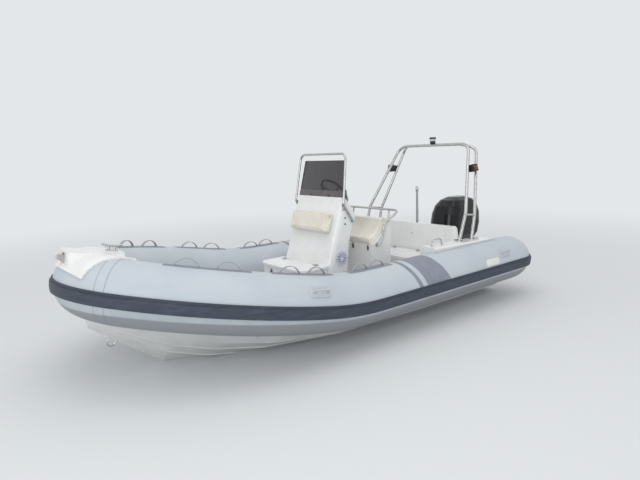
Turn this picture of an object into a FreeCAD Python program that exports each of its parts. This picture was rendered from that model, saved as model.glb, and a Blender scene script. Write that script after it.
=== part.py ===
import FreeCAD, Part
import math
import os
from collections import namedtuple
from FreeCAD import Placement, Rotation, Vector

# Rigid inflatable boat, in mm and degrees. X runs to the bow, Y to port and Z up from the waterline.

# Collar of inflated tubes: axis line, sheer and bow sweep
tube_radius = 265.0
tube_y = 970.0
tube_z = 458.0
cone_start_x = -2272.0
cone_side_radius = 420.0
cone_side_turn = 40.0
sheer_start_x = 150.0
sheer_length = 680.0
sheer_rise = 11.0
bow_lead = 58.0
bow_side_radius = 1920.0
bow_side_turn = 45.0
seat_gap = 0.3          # clearance wherever one piece is seated on another

# Rub strake, grab patches, strap loops and carry handles
strake_thick = 22.0
strake_step = 11.0
strake_low = -17.0      # degrees round the tube from its outer side
strake_top = 7.0
strake_step_at = 1.5
patch_thick = 3.0
patch_half_angle = 11.0
loop_span = 200.0
loop_height = 62.0
loop_width = 24.0
loop_thick = 5.0
carry_length = 225.0
carry_width = 92.0
carry_height = 62.0

# Hull
transom_x = -2350.0
transom_thick = 50.0
transom_top = 430.0
transom_side_top = 590.0
cutout_half = 300.0
cutout_top_half = 400.0
rail_width = 30.0
rail_drop = 12.0
cockpit_half = 738.0
cockpit_front_x = 1250.0
sole_z = 280.0
sole_thick = 30.0
foredeck_drop = 188.0   # foredeck below the tube axis
foredeck_skin = 12.0
foredeck_end_x = 2190.0
lip_drop = 20.0         # hull's lip above the foredeck's line

# Bow fittings
eye_x = 2245.0
eye_z = 316.0
eye_ring = 34.0
eye_rod = 6.0
eye_depth = 12.0        # threaded legs inside the stem
nose_skin = 16.0
nose_front_x = 2625.0
nose_half = 350.0
nose_aft_x = 2085.0
plate_front_x = 2560.0
plate_aft_x = 2110.0
plate_front_z = 1152.0
plate_aft_z = 1072.0
plate_half = 92.0
plate_thick = 18.0
roller_x = 2590.0
roller_z = 1098.0
roller_radius = 31.0
roller_length = 52.0
roller_pin = 6.0
cheek_thick = 5.0
cheek_aft_x = 2474.0
cleat_x = 2180.0
cleat_length = 170.0

# Console: half width, wall, and the rake of its front
console_half = 400.0
console_wall = 10.0
console_corner = 70.0
console_top = 1358.0
console_foot_front = 255.0
console_foot_aft = -150.0
console_head_front = -98.0
console_head_aft = -299.0
dash_low_z = 1120.0
dash_top_x = -126.0
vent_x = -52.0
vent_z = 715.0
vent_radius = 85.0
vent_slots = 12
pad_height = 232.0
pad_half = 318.0
pad_thick = 86.0
pad_z = 1085.0
pad_gap = 0.5

# Windscreen and its frame
screen_thick = 6.0
screen_half_low = 382.0
screen_half_top = 345.0
screen_top_z = 1745.0
screen_top_x = -178.0
screen_bow = 18.0
frame_rod = 12.5
frame_top_z = 1815.0
frame_top_x = -168.0
frame_half_top = 382.0
frame_half_low = 416.0
frame_kink_x = -88.0
frame_kink_z = 1290.0
frame_foot_x = -221.0
frame_foot_z = 1093.0

# Helm
helm_y = 30.0
helm_up_dash = 215.0    # along the dash from its lower edge
wheel_stand = 158.0
wheel_radius = 176.0
wheel_rim = 13.0
wheel_hub_radius = 32.0
hub_drop = 50.0         # from the rim's plane down to the column
column_radius = 22.0
throttle_y = 270.0

# Step locker in front of the console
locker_front_x = 480.0
locker_aft_x = 262.0
locker_half = 400.0
locker_top = 665.0
locker_wall = 12.0
lid_thick = 26.0
lid_gap = 1.0
step_hinge_y = 265.0
hinge_rod = 5.0
hinge_lift = 5.5        # hinge pin above the face that carries it
hinge_half = 14.0       # half length of a lid's knuckle
hinge_side = 22.0       # from a lid's knuckle to the fixed one beside it

# Driver's seat
seat_front_x = -485.0
seat_aft_x = -790.0
seat_half = 420.0
seat_front_z = 795.0
seat_back_z = 1065.0
seat_wall = 12.0
seat_sag = 62.0
seat_hinge_x = -776.0
seat_hinge_y = 300.0
seat_lid_thick = 12.0
cushion_thick = 58.0
cushion_half = 392.0
rail_rod = 12.5

# Aft bench, side mouldings, backrest wall and motor well
bench_front_x = -1105.0
bench_top = 560.0
bench_wall = 14.0
bench_lid_front_x = -1150.0
bench_lid_half = 330.0
bench_hinge_y = 197.0
wall_front_x = -1595.0
wall_foot_x = -1560.0
wall_thick = 40.0
wall_top = 903.0
wall_half = 712.0
side_front_x = -970.0
side_aft_x = -2050.0
side_inner_y = 700.0
side_outer_y = 905.0
side_top_front = 752.0
side_top_aft = 726.0
well_floor = 330.0
pole_x = -1751.0
pole_top = 1300.0
pole_radius = 19.0

# Arch
arch_rod = 19.0
arch_foot_radius = 42.0
arch_top_z = 1876.0
light_z = 1572.0
light_height = 84.0

# Outboard motor
tilt_x = -2318.0
tilt_z = 488.0
tilt_pin = 11.0
swivel_x = -2462.0
cowl_length = 745.0
cowl_half = 225.0
cowl_bottom = 575.0
cowl_top = 1158.0
cowl_front_x = -2195.0
tray_z = 525.0
shaft_z = -385.0
prop_radius = 165.0
prop_hub = 48.0
prop_front_x = -2790.0
prop_length = 108.0
blade_count = 3
blade_thick = 7.0

X = Vector(1, 0, 0)
Y = Vector(0, 1, 0)
Z = Vector(0, 0, 1)
ORIGIN = Vector(0, 0, 0)


# Basic forms

def box(x0, x1, y0, y1, z0, z1):
    return Part.makeBox(x1 - x0, y1 - y0, z1 - z0, Vector(x0, y0, z0))


def rod(a, b, radius):
    return Part.makeCylinder(radius, (b - a).Length, a, b - a)


def tapered_rod(a, b, radius_a, radius_b):
    return Part.makeCone(radius_a, radius_b, (b - a).Length, a, b - a)


def mirrored(shape):
    return shape.mirror(ORIGIN, Y)


def joined(shapes):
    first, rest = shapes[0], shapes[1:]
    if not rest:
        return first
    return first.multiFuse(rest).removeSplitter()


def both_sides(shape):
    return Part.makeCompound([shape, mirrored(shape)])


def closed_wire(points):
    return Part.makePolygon(points + [points[0]])


def prism_xz(points, y0, y1):
    face = Part.Face(closed_wire([Vector(x, y0, z) for x, z in points]))
    return face.extrude(Y * (y1 - y0))


def prism_yz(points, x0, x1):
    face = Part.Face(closed_wire([Vector(x0, y, z) for y, z in points]))
    return face.extrude(X * (x1 - x0))


def prism_xy(points, z0, z1):
    face = Part.Face(closed_wire([Vector(x, y, z0) for x, y in points]))
    return face.extrude(Z * (z1 - z0))


def loft(wires):
    return Part.makeLoft(wires, True, True)


def rounded_wire(corners, place):
    # corners: (a, b, radius) round a plane outline; place turns (a, b) into a point
    edges = []
    ends = []
    count = len(corners)
    for i in range(count):
        before = Vector(*corners[i - 1][:2], 0)
        here = Vector(*corners[i][:2], 0)
        after = Vector(*corners[(i + 1) % count][:2], 0)
        radius = corners[i][2]
        if radius <= 0:
            ends.append((here, here))
            continue
        a = (before - here).normalize()
        b = (after - here).normalize()
        half = a.getAngle(b) / 2
        setback = radius / math.tan(half)
        middle = (a + b).normalize()
        centre = here + middle * (radius / math.sin(half))
        start = here + a * setback
        stop = here + b * setback
        ends.append((start, stop))
        top = centre - middle * radius
        edges.append((i, Part.Arc(*[place(p.x, p.y) for p in (start, top, stop)]).toShape()))
    arcs = dict(edges)
    chain = []
    for i in range(count):
        if i in arcs:
            chain.append(arcs[i])
        start = ends[i][1]
        stop = ends[(i + 1) % count][0]
        if (stop - start).Length > 1e-6:
            chain.append(Part.makeLine(place(start.x, start.y), place(stop.x, stop.y)))
    return Part.Wire(chain)


def rounded_rect(x0, x1, half, radius, z):
    corners = [(x0, -half, radius), (x1, -half, radius), (x1, half, radius), (x0, half, radius)]
    return rounded_wire(corners, lambda a, b: Vector(a, b, z))


def hinge_knuckles(x, z, places, leaf_x, half, shifts):
    # pins across the boat with a flat leaf that runs from the pin to leaf_x
    pieces = []
    for place in places:
        for shift in shifts:
            y = place + shift
            height = z + hinge_lift
            pieces.append(rod(Vector(x, y - half, height), Vector(x, y + half, height), hinge_rod))
            pieces.append(box(min(x, leaf_x), max(x, leaf_x), y - half, y + half, z, z + 4))
    return pieces


def bent_rod(points, bends, radius):
    # a round bar through the points, with one bend radius for each inner point
    solids = []
    here = points[0]
    for i, bend in enumerate(bends, 1):
        a = (points[i - 1] - points[i]).normalize()
        b = (points[i + 1] - points[i]).normalize()
        half = a.getAngle(b) / 2
        setback = bend / math.tan(half)
        start = points[i] + a * setback
        centre = points[i] + (a + b).normalize() * (bend / math.sin(half))
        axis = b.cross(a).normalize()
        solids.append(rod(here, start, radius))
        section = Part.Face(Part.Wire(Part.makeCircle(radius, start, a)))
        solids.append(section.revolve(centre, axis, 180 - math.degrees(2 * half)))
        here = points[i] + b * setback
    solids.append(rod(here, points[-1], radius))
    return joined(solids)


# Collar axis: runs from the stern to the bow on the port side

Run = namedtuple("Run", "point forward out up length centre axis")


def straight_run(frame, length):
    point, forward, out, up = frame
    run = Run(point, forward, out, up, length, None, None)
    return run, (point + forward * length, forward, out, up)


def curved_run(frame, towards, radius, angle):
    point, forward, out, up = frame
    centre = point + towards * radius
    axis = forward.cross(towards)
    turn = Rotation(axis, angle)
    run = Run(point, forward, out, up, radius * math.radians(angle), centre, axis)
    moved = centre + turn.multVec(point - centre)
    return run, (moved, turn.multVec(forward), turn.multVec(out), turn.multVec(up))


def collar_runs():
    frame = (Vector(cone_start_x, tube_y, tube_z), X, Y, Z)
    runs = []
    run, frame = straight_run(frame, sheer_start_x - cone_start_x)
    runs.append(run)
    sheer_radius = sheer_length / math.sin(math.radians(sheer_rise))
    run, frame = curved_run(frame, Z, sheer_radius, sheer_rise)
    runs.append(run)
    run, frame = straight_run(frame, bow_lead)
    runs.append(run)
    run, frame = curved_run(frame, frame[2] * -1, bow_side_radius, bow_side_turn)
    runs.append(run)
    bow_radius = frame[0].y / math.cos(math.radians(bow_side_turn))
    run, frame = curved_run(frame, frame[2] * -1, bow_radius, 2 * (90 - bow_side_turn))
    return runs, run


side_runs, bow_run = collar_runs()
side_length = sum(run.length for run in side_runs)


def frame_in(run, distance):
    if run.centre is None:
        return run.point + run.forward * distance, run.forward, run.out, run.up
    turn = Rotation(run.axis, math.degrees(distance / (run.point - run.centre).Length))
    point = run.centre + turn.multVec(run.point - run.centre)
    return point, turn.multVec(run.forward), turn.multVec(run.out), turn.multVec(run.up)


def frame_at(distance):
    # frame on the port side, by distance along the collar's axis from the stern cone
    for run in side_runs:
        if distance <= run.length or run is side_runs[-1]:
            return frame_in(run, distance)
        distance -= run.length


def distance_at(x):
    low, high = 0.0, side_length
    for _ in range(50):
        middle = (low + high) / 2
        if frame_at(middle)[0].x < x:
            low = middle
        else:
            high = middle
    return low


def swept_run(profile, run, start, stop):
    face = profile(*frame_in(run, start))
    if run.centre is None:
        return face.extrude(run.forward * (stop - start))
    radius = (run.point - run.centre).Length
    return face.revolve(run.centre, run.axis, math.degrees((stop - start) / radius))


def swept(profile, start, stop):
    pieces = []
    passed = 0.0
    for run in side_runs:
        a = max(start - passed, 0.0)
        b = min(stop - passed, run.length)
        if b - a > 0.01:
            pieces.append(swept_run(profile, run, a, b))
        passed += run.length
    return joined(pieces)


def disc_profile(radius):
    # round section whose seam lies on the tube's underside
    def profile(point, forward, out, up):
        circle = Part.makeCircle(radius)
        circle.Placement = Placement(point, Rotation(up * -1, out, forward, "ZXY"))
        return Part.Face(Part.Wire(circle))
    return profile


def round_tube(point, out, up, radius, angle):
    a = math.radians(angle)
    return point + out * (radius * math.cos(a)) + up * (radius * math.sin(a))


def ring_profile(steps):
    # steps: (radius, from angle, to angle) read round the section; the first arc is the inner one
    def profile(point, forward, out, up):
        edges = []
        corners = []
        for radius, a, b in steps:
            p, q, r = [round_tube(point, out, up, radius, t) for t in (a, (a + b) / 2, b)]
            corners.append((p, r))
            edges.append(Part.Arc(p, q, r).toShape())
        chain = []
        for i, edge in enumerate(edges):
            chain.append(edge)
            stop = corners[i][1]
            start = corners[(i + 1) % len(edges)][0]
            chain.append(Part.makeLine(stop, start))
        return Part.Face(Part.Wire(chain))
    return profile


def stern_cone(extra):
    # bullet-shaped tube end, revolved round the tube's axis
    turn = math.radians(cone_side_turn)
    side = cone_side_radius + extra
    start = tube_radius + extra
    centre = tube_radius - cone_side_radius
    end_radius = (tube_radius - cone_side_radius * (1 - math.cos(turn))) / math.cos(turn) + extra
    end_centre_x = cone_start_x - (cone_side_radius - end_radius + extra) * math.sin(turn)

    def place(x, radius):
        return Vector(x, tube_y, tube_z + radius)

    def on_side(t):
        return place(cone_start_x - side * math.sin(t), centre + side * math.cos(t))

    def on_end(t):
        return place(end_centre_x - end_radius * math.sin(t), end_radius * math.cos(t))

    quarter = math.pi / 2
    edges = [
        Part.makeLine(place(cone_start_x, 0), place(cone_start_x, start)),
        Part.Arc(on_side(0), on_side(turn / 2), on_side(turn)).toShape(),
        Part.Arc(on_end(turn), on_end((turn + quarter) / 2), on_end(quarter)).toShape(),
        Part.makeLine(on_end(quarter), place(cone_start_x, 0)),
    ]
    return Part.Face(Part.Wire(edges)).revolve(place(cone_start_x, 0), X, 360)


def side_tube(extra):
    return joined([stern_cone(extra), swept(disc_profile(tube_radius + extra), 0, side_length)])


def bow_tube(extra):
    return swept_run(disc_profile(tube_radius + extra), bow_run, 0, bow_run.length)


port_tube = side_tube(0)
collar_cutter = [side_tube(seat_gap), mirrored(side_tube(seat_gap)), bow_tube(seat_gap)]


def seated(shape):
    return shape.cut(collar_cutter)


# Rub strake, patches, loops and handles

def rub_strake():
    outer = tube_radius + strake_thick
    step = tube_radius + strake_step
    inner = tube_radius + seat_gap
    profile = ring_profile([
        (inner, strake_top, strake_low),
        (outer, strake_low + 1.2, strake_step_at),
        (step, strake_step_at + 0.6, strake_top),
    ])
    side = swept(profile, 0, side_length)
    deep = ring_profile([
        (tube_radius - 60, strake_top, strake_low),
        (outer, strake_low + 1.2, strake_step_at),
        (step, strake_step_at + 0.6, strake_top),
    ])
    start = Vector(cone_start_x, tube_y, tube_z)
    centre = start + Y * (tube_radius - cone_side_radius)
    wrap = deep(start, X, Y, Z).revolve(centre, Z, cone_side_turn)
    side = joined([side, wrap.cut(side_tube(seat_gap))])
    bow = swept_run(profile, bow_run, 0, bow_run.length)
    return joined([side, bow, mirrored(side)])


# Strap loops: aft and forward foot of each, by x on the tube's crest; a patch carries two
loop_pairs = [
    (-92.0, 334.0),
    (708.0, 1182.0),
    (1500.0, 1960.0),
]


def grab_patches():
    profile = ring_profile([
        (tube_radius + seat_gap, 90 - patch_half_angle, 90 + patch_half_angle),
        (tube_radius + seat_gap + patch_thick, 90 + patch_half_angle, 90 - patch_half_angle),
    ])
    patches = []
    for aft, front in loop_pairs:
        patch = swept(profile, distance_at(aft) - 80, distance_at(front) + 80)
        patches += [patch, mirrored(patch)]
    return Part.makeCompound(patches)


def strap_loop(distance):
    # flat webbing arch; its feet end on the patch
    point, forward, out, up = frame_at(distance)
    base = point + up * (tube_radius + patch_thick - 1) - out * (loop_width / 2)
    half = loop_span / 2

    def arch(foot, height):
        return [base + forward * foot, base + up * height, base - forward * foot]

    outer = arch(half, loop_height)
    inner = arch(half - loop_thick * 1.25, loop_height - loop_thick)
    wire = Part.Wire([Part.Arc(*outer).toShape(), Part.makeLine(outer[2], inner[2]),
                      Part.Arc(*inner).toShape(), Part.makeLine(inner[0], outer[0])])
    under_radius = tube_radius + patch_thick + 2 * seat_gap
    under = swept(disc_profile(under_radius), distance - loop_span, distance + loop_span)
    return Part.Face(wire).extrude(out * loop_width).cut(under)


def grab_loops():
    loops = []
    for aft, front in loop_pairs:
        a, b = distance_at(aft), distance_at(front)
        for distance in (a + loop_span / 2, b - loop_span / 2):
            loop = strap_loop(distance)
            loops += [loop, mirrored(loop)]
    return Part.makeCompound(loops)


# Carry handles: x along the tube, degrees up from its outer side
carry_places = [(920.0, 33.0), (-1880.0, 34.0)]


def carry_handle(x, angle):
    point, forward, out, up = frame_at(distance_at(x))
    a = math.radians(angle)
    normal = out * math.cos(a) + up * math.sin(a)
    across = up * math.cos(a) - out * math.sin(a)
    base = point + normal * (tube_radius - 12)
    long, wide = carry_length / 2, carry_width / 2

    def place(height):
        return lambda s, t: base + forward * s + across * t + normal * height

    def pad(grow, height):
        corners = [(-long - grow, -wide - grow, wide * 0.8), (long + grow, -wide - grow, wide * 0.8),
                   (long + grow, wide + grow, wide * 0.8), (-long - grow, wide + grow, wide * 0.8)]
        return rounded_wire(corners, place(height))

    plate = loft([pad(8, 0), pad(0, 18)])
    grip = bent_rod([place(14)(-long * 0.72, 0), place(carry_height)(-long * 0.55, 0),
                     place(carry_height)(long * 0.55, 0), place(14)(long * 0.72, 0)], [14, 14], 9)
    return plate.fuse(grip).cut(collar_cutter[0])


def carry_handles():
    handles = []
    for x, angle in carry_places:
        handle = carry_handle(x, angle)
        handles += [handle, mirrored(handle)]
    return Part.makeCompound(handles)


# Hull

# x, keel z, chine y, chine z
hull_stations = [
    (-2350.0, -200.0, 800.0, 78.0),
    (-900.0, -205.0, 812.0, 84.0),
    (400.0, -212.0, 795.0, 104.0),
    (1050.0, -186.0, 705.0, 160.0),
    (1500.0, -118.0, 560.0, 240.0),
    (1830.0, 0.0, 410.0, 322.0),
    (2130.0, 225.0, 235.0, 425.0),
    (2440.0, 462.0, 44.0, 522.0),
]
rail_places = (0.42, 0.70)


def hull_section(x, keel, chine_y, chine_z):
    centre = frame_at(distance_at(min(x, frame_at(side_length)[0].x)))[0]
    past = max(0.0, x - centre.x)
    side_y = max(centre.y - 80 - past * 1.45, chine_y + 12)
    side_z = centre.z - 222 + past * math.tan(math.radians(sheer_rise)) * 0.4
    top_y = max(centre.y - 130 - past * 1.3, chine_y + 2)
    top_z = centre.z - foredeck_drop + lip_drop + past * math.tan(math.radians(sheer_rise)) * 0.4
    small = min(1.0, chine_y / 600.0)
    width, drop = rail_width * small, rail_drop * small
    half = []
    for share in rail_places:
        y = share * chine_y
        z = keel + share * (chine_z - keel)
        half += [(y, z), (y + width, z), (y + width, z + drop)]
    half += [(chine_y - width, chine_z - drop), (chine_y, chine_z - drop), (side_y, side_z), (top_y, top_z)]
    points = [(0.0, keel)] + half + [(-y, z) for y, z in reversed(half)]
    return closed_wire([Vector(x, y, z) for y, z in points])


hull_lip_z = tube_z - foredeck_drop + lip_drop


def foredeck_line(x):
    # height of the foredeck's upper face, which follows the tubes' rise
    a = frame_at(distance_at(cockpit_front_x))[0]
    return a.z - foredeck_drop + (x - a.x) * math.tan(math.radians(sheer_rise))


def hull():
    body = loft([hull_section(*row) for row in hull_stations])
    above = prism_xz([(cockpit_front_x, foredeck_line(cockpit_front_x)), (3000, foredeck_line(3000)),
                      (3000, 2000), (cockpit_front_x, 2000)], -1500, 1500)
    cockpit = box(transom_x - 50, cockpit_front_x, -cockpit_half, cockpit_half, sole_z - sole_thick, 2000)
    return seated(body.cut([above, cockpit, bow_eye(eye_rod + seat_gap)]))


def sole():
    corner = 40.0
    corners = [(transom_x + transom_thick + seat_gap, -cockpit_half + seat_gap, 0),
               (cockpit_front_x - seat_gap, -cockpit_half + seat_gap, corner),
               (cockpit_front_x - seat_gap, cockpit_half - seat_gap, corner),
               (transom_x + transom_thick + seat_gap, cockpit_half - seat_gap, 0)]
    wire = rounded_wire(corners, lambda a, b: Vector(a, b, sole_z - sole_thick))
    return seated(Part.Face(wire).extrude(Z * sole_thick))


def foredeck():
    # skin over the bow locker, between the tubes' inner sides, with its aft face down to the sole
    inner = [(cockpit_front_x, 900.0), (1500.0, 800.0), (1800.0, 650.0), (2000.0, 500.0),
             (foredeck_end_x, 330.0)]
    outline = inner + [(x, -y) for x, y in reversed(inner)]
    low = prism_xz([(cockpit_front_x, foredeck_line(cockpit_front_x)),
                    (foredeck_end_x, foredeck_line(foredeck_end_x)),
                    (foredeck_end_x, foredeck_line(foredeck_end_x) + foredeck_skin),
                    (cockpit_front_x, foredeck_line(cockpit_front_x) + foredeck_skin)], -1000, 1000)
    return seated(low.common(prism_xy(outline, 0, 1500)))


def transom():
    back, front = transom_x, transom_x + transom_thick
    low = sole_z - sole_thick + seat_gap
    inner = cockpit_half - seat_gap
    lip = hull_lip_z + seat_gap
    half = [(cutout_half, transom_top), (cutout_top_half, transom_side_top), (inner + 34, transom_side_top),
            (inner + 34, lip), (inner, lip), (inner, low)]
    outline = [(-y, z) for y, z in reversed(half)] + half
    return seated(prism_yz(outline, back, front))


# Bow fittings

def bow_eye(radius=eye_rod):
    # U-bolt through the stem
    low = Vector(eye_x, 0, eye_z)
    slope = Vector(300, 0, 237).normalize()
    out = Vector(slope.z, 0, -slope.x)
    sunk = out * (eye_depth if radius == eye_rod else eye_depth + 2)
    a = low + slope * eye_ring
    b = low - slope * eye_ring
    reach = out * (eye_ring * 1.9)
    bend = eye_ring * 0.95
    return bent_rod([a - sunk, a + reach, b + reach, b - sunk], [bend, bend], radius)


def nose_skin_prism():
    corners = [(nose_front_x, -150.0, 60), (nose_front_x, 150.0, 60), (2520.0, 335.0, 40),
               (2215.0, nose_half + 10, 40), (nose_aft_x, 250.0, 60), (nose_aft_x, -250.0, 60),
               (2215.0, -nose_half - 10, 40), (2520.0, -335.0, 40)]
    wire = rounded_wire(corners, lambda a, b: Vector(a, b, 860))
    return Part.Face(wire).extrude(Z * 400)


plate_slope = (plate_front_z - plate_aft_z) / (plate_front_x - plate_aft_x)


def plate_line(x):
    return plate_aft_z + (x - plate_aft_x) * plate_slope


def bow_moulding():
    # skin over the bow tube, a ridge that narrows upwards, and the flat plate on top of it
    ring = ring_profile([
        (tube_radius + seat_gap, -20, 160),
        (tube_radius + nose_skin, 160, -20),
    ])
    skin = swept_run(ring, bow_run, 0, bow_run.length).common(nose_skin_prism())
    ridge_low = rounded_rect(nose_aft_x + 20, nose_front_x - 45, 255.0, 60.0, 940.0)
    ridge_top = rounded_rect(plate_aft_x + 15, plate_front_x - 10, plate_half, 30.0, plate_front_z)
    under = [(x, plate_line(x) - plate_thick) for x in (1900, 2800)]
    above = prism_xz(under + [(2800, 1600), (1900, 1600)], -500, 500)
    slot_half = roller_length / 2 + cheek_thick + 5
    slot_top = plate_line(cheek_aft_x) - plate_thick
    slot = box(cheek_aft_x - 6, nose_front_x + 60, -slot_half, slot_half, 800, slot_top)
    cutters = [above, slot, bow_tube(seat_gap)] + collar_cutter[:2]
    ridge = loft([ridge_low, ridge_top]).cut(cutters)
    ends = [(x, plate_line(x) - plate_thick) for x in (plate_aft_x, plate_front_x)]
    upper = [(x, z + plate_thick) for x, z in reversed(ends)]
    plate = prism_xz(ends + upper, -plate_half - 14, plate_half + 14)
    return joined([skin, ridge, plate])


def roller_bracket():
    # two cheeks on the moulding's skin, a web behind them and the roller's pin
    half = roller_length / 2 + 1.5
    top = plate_line(cheek_aft_x) - plate_thick - 5
    side = [(cheek_aft_x, 1000), (cheek_aft_x, top), (roller_x + 16, roller_z + 14),
            (roller_x + 24, roller_z - 8), (roller_x - 8, roller_z - 40), (roller_x - 60, 1000)]
    port = prism_xz(side, half, half + cheek_thick)
    web = box(cheek_aft_x, cheek_aft_x + cheek_thick, -half - cheek_thick, half + cheek_thick, 1000, top)
    pin = rod(Vector(roller_x, -half - cheek_thick - 4, roller_z),
              Vector(roller_x, half + cheek_thick + 4, roller_z),
              roller_pin)
    return joined([port, mirrored(port), web, pin]).cut(bow_tube(nose_skin + seat_gap))


def bow_roller():
    half = roller_length / 2
    profile = [(roller_pin + seat_gap, -half), (roller_radius, -half), (roller_radius - 9, 0.0),
               (roller_radius, half), (roller_pin + seat_gap, half)]
    wire = closed_wire([Vector(roller_x + r, y, roller_z) for r, y in profile])
    return Part.Face(wire).revolve(Vector(roller_x, 0, roller_z), Y, 360)


def bow_cleat():
    # horn cleat, built flat and then laid on the sloping plate
    foot = box(-48, 48, -19, 19, seat_gap, 7)
    legs = [rod(Vector(s, 0, 4), Vector(s, 0, 40), 9) for s in (-26, 26)]
    half = cleat_length / 2
    points = [Vector(-half, 0, 50), Vector(-45, 0, 40), Vector(45, 0, 40), Vector(half, 0, 50)]
    bar = bent_rod(points, [60, 60], 9)
    cleat = joined([foot] + legs + [bar])
    cleat.rotate(ORIGIN, Y, -math.degrees(math.atan(plate_slope)))
    cleat.translate(Vector(cleat_x, 0, plate_line(cleat_x)))
    return cleat


# Console

# z, front x, aft x, corner radius
console_stations = [
    (sole_z + seat_gap, console_foot_front, console_foot_aft, 60.0),
    (670.0, 130.0, -178.0, console_corner),
    (900.0, 54.0, -214.0, console_corner),
    (dash_low_z, -20.0, console_head_aft, console_corner),
    (console_top, console_head_front, console_head_aft, 60.0),
]


def console_loft(wall):
    wires = []
    for z, front, aft, corner in console_stations:
        low = z - 60 if wall and z < 300 else z
        wires.append(rounded_rect(aft + wall, front - wall, console_half - wall, corner - wall, low))
    return loft(wires)


def over_dash(drop):
    # everything above the sloping dash, lowered by drop
    run = Vector(dash_top_x - console_head_aft, 0, console_top - dash_low_z).normalize()
    down = Vector(run.z, 0, -run.x) * drop
    low = Vector(console_head_aft, 0, dash_low_z) + down - run * 400
    high = Vector(dash_top_x, 0, console_top) + down + run * 400
    return prism_xz([(low.x, low.z), (high.x, high.z), (low.x, high.z)], -600, 600)


dash_run = Vector(dash_top_x - console_head_aft, 0, console_top - dash_low_z).normalize()
dash_normal = Vector(-dash_run.z, 0, dash_run.x)
dash_low = Vector(console_head_aft, 0, dash_low_z)


def dash_point(up, across, height):
    return dash_low + dash_run * up + Y * across + dash_normal * height


def console():
    outer = console_loft(0).cut(over_dash(0))
    over_top = box(-600, 600, -600, 600, console_top - console_wall, 1600)
    inner = console_loft(console_wall).cut([over_dash(console_wall), over_top])
    hole = rod(Vector(vent_x, console_half - 40, vent_z), Vector(vent_x, console_half + 40, vent_z),
               vent_radius - 12)
    column = rod(dash_point(helm_up_dash, helm_y, -30), dash_point(helm_up_dash, helm_y, 30),
                 column_radius + 1)
    return outer.cut([inner, hole, column])


def console_vent():
    # round louvred vent in the port side: flange, rim and radial slots
    face_y = console_half + seat_gap
    flange = Part.makeCylinder(vent_radius, 6, Vector(vent_x, face_y, vent_z), Y)
    slots = []
    for i in range(vent_slots):
        angle = math.radians(360.0 * i / vent_slots)
        slot = box(24, vent_radius - 16, -4.5, 4.5, -3, 20)
        slot.rotate(ORIGIN, Z, math.degrees(angle))
        slot.rotate(ORIGIN, X, -90)
        slot.translate(Vector(vent_x, face_y - 4, vent_z))
        slots.append(slot)
    return flange.cut(slots)


def console_front_frame(z):
    # point on the raked front face, its upward run and its outward normal
    low = Vector(console_stations[1][1], 0, console_stations[1][0])
    high = Vector(console_stations[3][1], 0, console_stations[3][0])
    run = (high - low).normalize()
    return low + run * ((z - low.z) / run.z), run, Vector(run.z, 0, -run.x)


def console_pad():
    middle, run, normal = console_front_frame(pad_z)

    def outline(shrink, height, radius):
        s, t = pad_height / 2 - shrink, pad_half - shrink
        corners = [(-s, -t, radius), (s, -t, radius), (s, t, radius), (-s, t, radius)]
        return rounded_wire(corners, lambda a, b: middle + run * a + Y * b + normal * height)

    return loft([outline(10, pad_gap, 26), outline(0, 14, 30), outline(0, pad_thick - 14, 30),
                 outline(12, pad_thick, 24)])


def windscreen():
    # bowed smoked sheet that stands on the console's upper edge
    wires = []
    for x, half, z in ((console_head_front - 3, screen_half_low, console_top + seat_gap),
                       (screen_top_x, screen_half_top, screen_top_z)):
        inset = screen_thick * 0.4
        front = [Vector(x - screen_bow, -half, z), Vector(x, 0, z), Vector(x - screen_bow, half, z)]
        back = [Vector(p.x - screen_thick, p.y * (half - inset) / half, z) for p in reversed(front)]
        wires.append(Part.Wire([Part.Arc(*front).toShape(), Part.makeLine(front[2], back[0]),
                                Part.Arc(*back).toShape(), Part.makeLine(back[2], front[0])]))
    return loft(wires)


def screen_frame():
    points = [
        Vector(frame_foot_x, frame_half_low, frame_foot_z),
        Vector(frame_kink_x, frame_half_low, frame_kink_z),
        Vector(frame_top_x, frame_half_top, frame_top_z),
        Vector(frame_top_x, -frame_half_top, frame_top_z),
        Vector(frame_kink_x, -frame_half_low, frame_kink_z),
        Vector(frame_foot_x, -frame_half_low, frame_foot_z),
    ]
    hoop = bent_rod(points, [60, 70, 70, 60], frame_rod)
    feet = []
    for x, z in ((frame_foot_x + 6, frame_foot_z + 9), (frame_kink_x - 6, frame_kink_z - 9)):
        for side in (1, -1):
            inner = Vector(x, side * (console_half + seat_gap), z)
            feet.append(rod(inner, Vector(x, side * frame_half_low, z), frame_rod * 0.8))
            feet.append(rod(inner, inner + Y * (side * 5), frame_rod * 1.5))
    return joined([hoop] + feet)


# Helm

def instrument_panel():
    # dark panel on the dash with three round gauges and a switch row
    corners = [(30, -330, 18), (272, -330, 18), (272, 330, 18), (30, 330, 18)]
    wire = rounded_wire(corners, lambda a, b: dash_point(a, b, seat_gap))
    panel = Part.Face(wire).extrude(dash_normal * 5)
    gauges = []
    for across in (-270, -180, 160):
        base = dash_point(205, across, 3)
        gauges.append(Part.makeCylinder(42, 12, base, dash_normal))
    switches = []
    for i in range(6):
        base = dash_point(70, -280 + 45 * i, 3)
        switches.append(Part.makeCylinder(9, 12, base, dash_normal))
    hole = Part.makeCylinder(column_radius + 1, 60, dash_point(helm_up_dash, helm_y, -30), dash_normal)
    return joined([panel] + gauges + switches).cut(hole)


def steering_base():
    # bezel and housing that carry the steering shaft
    low = dash_point(helm_up_dash, helm_y, -20)
    bezel = Part.makeCone(62, 48, 26, dash_point(helm_up_dash, helm_y, 6 + 2 * seat_gap), dash_normal)
    housing = Part.makeCylinder(column_radius, wheel_stand - hub_drop + 20, low, dash_normal)
    return joined([housing, bezel])


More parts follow.
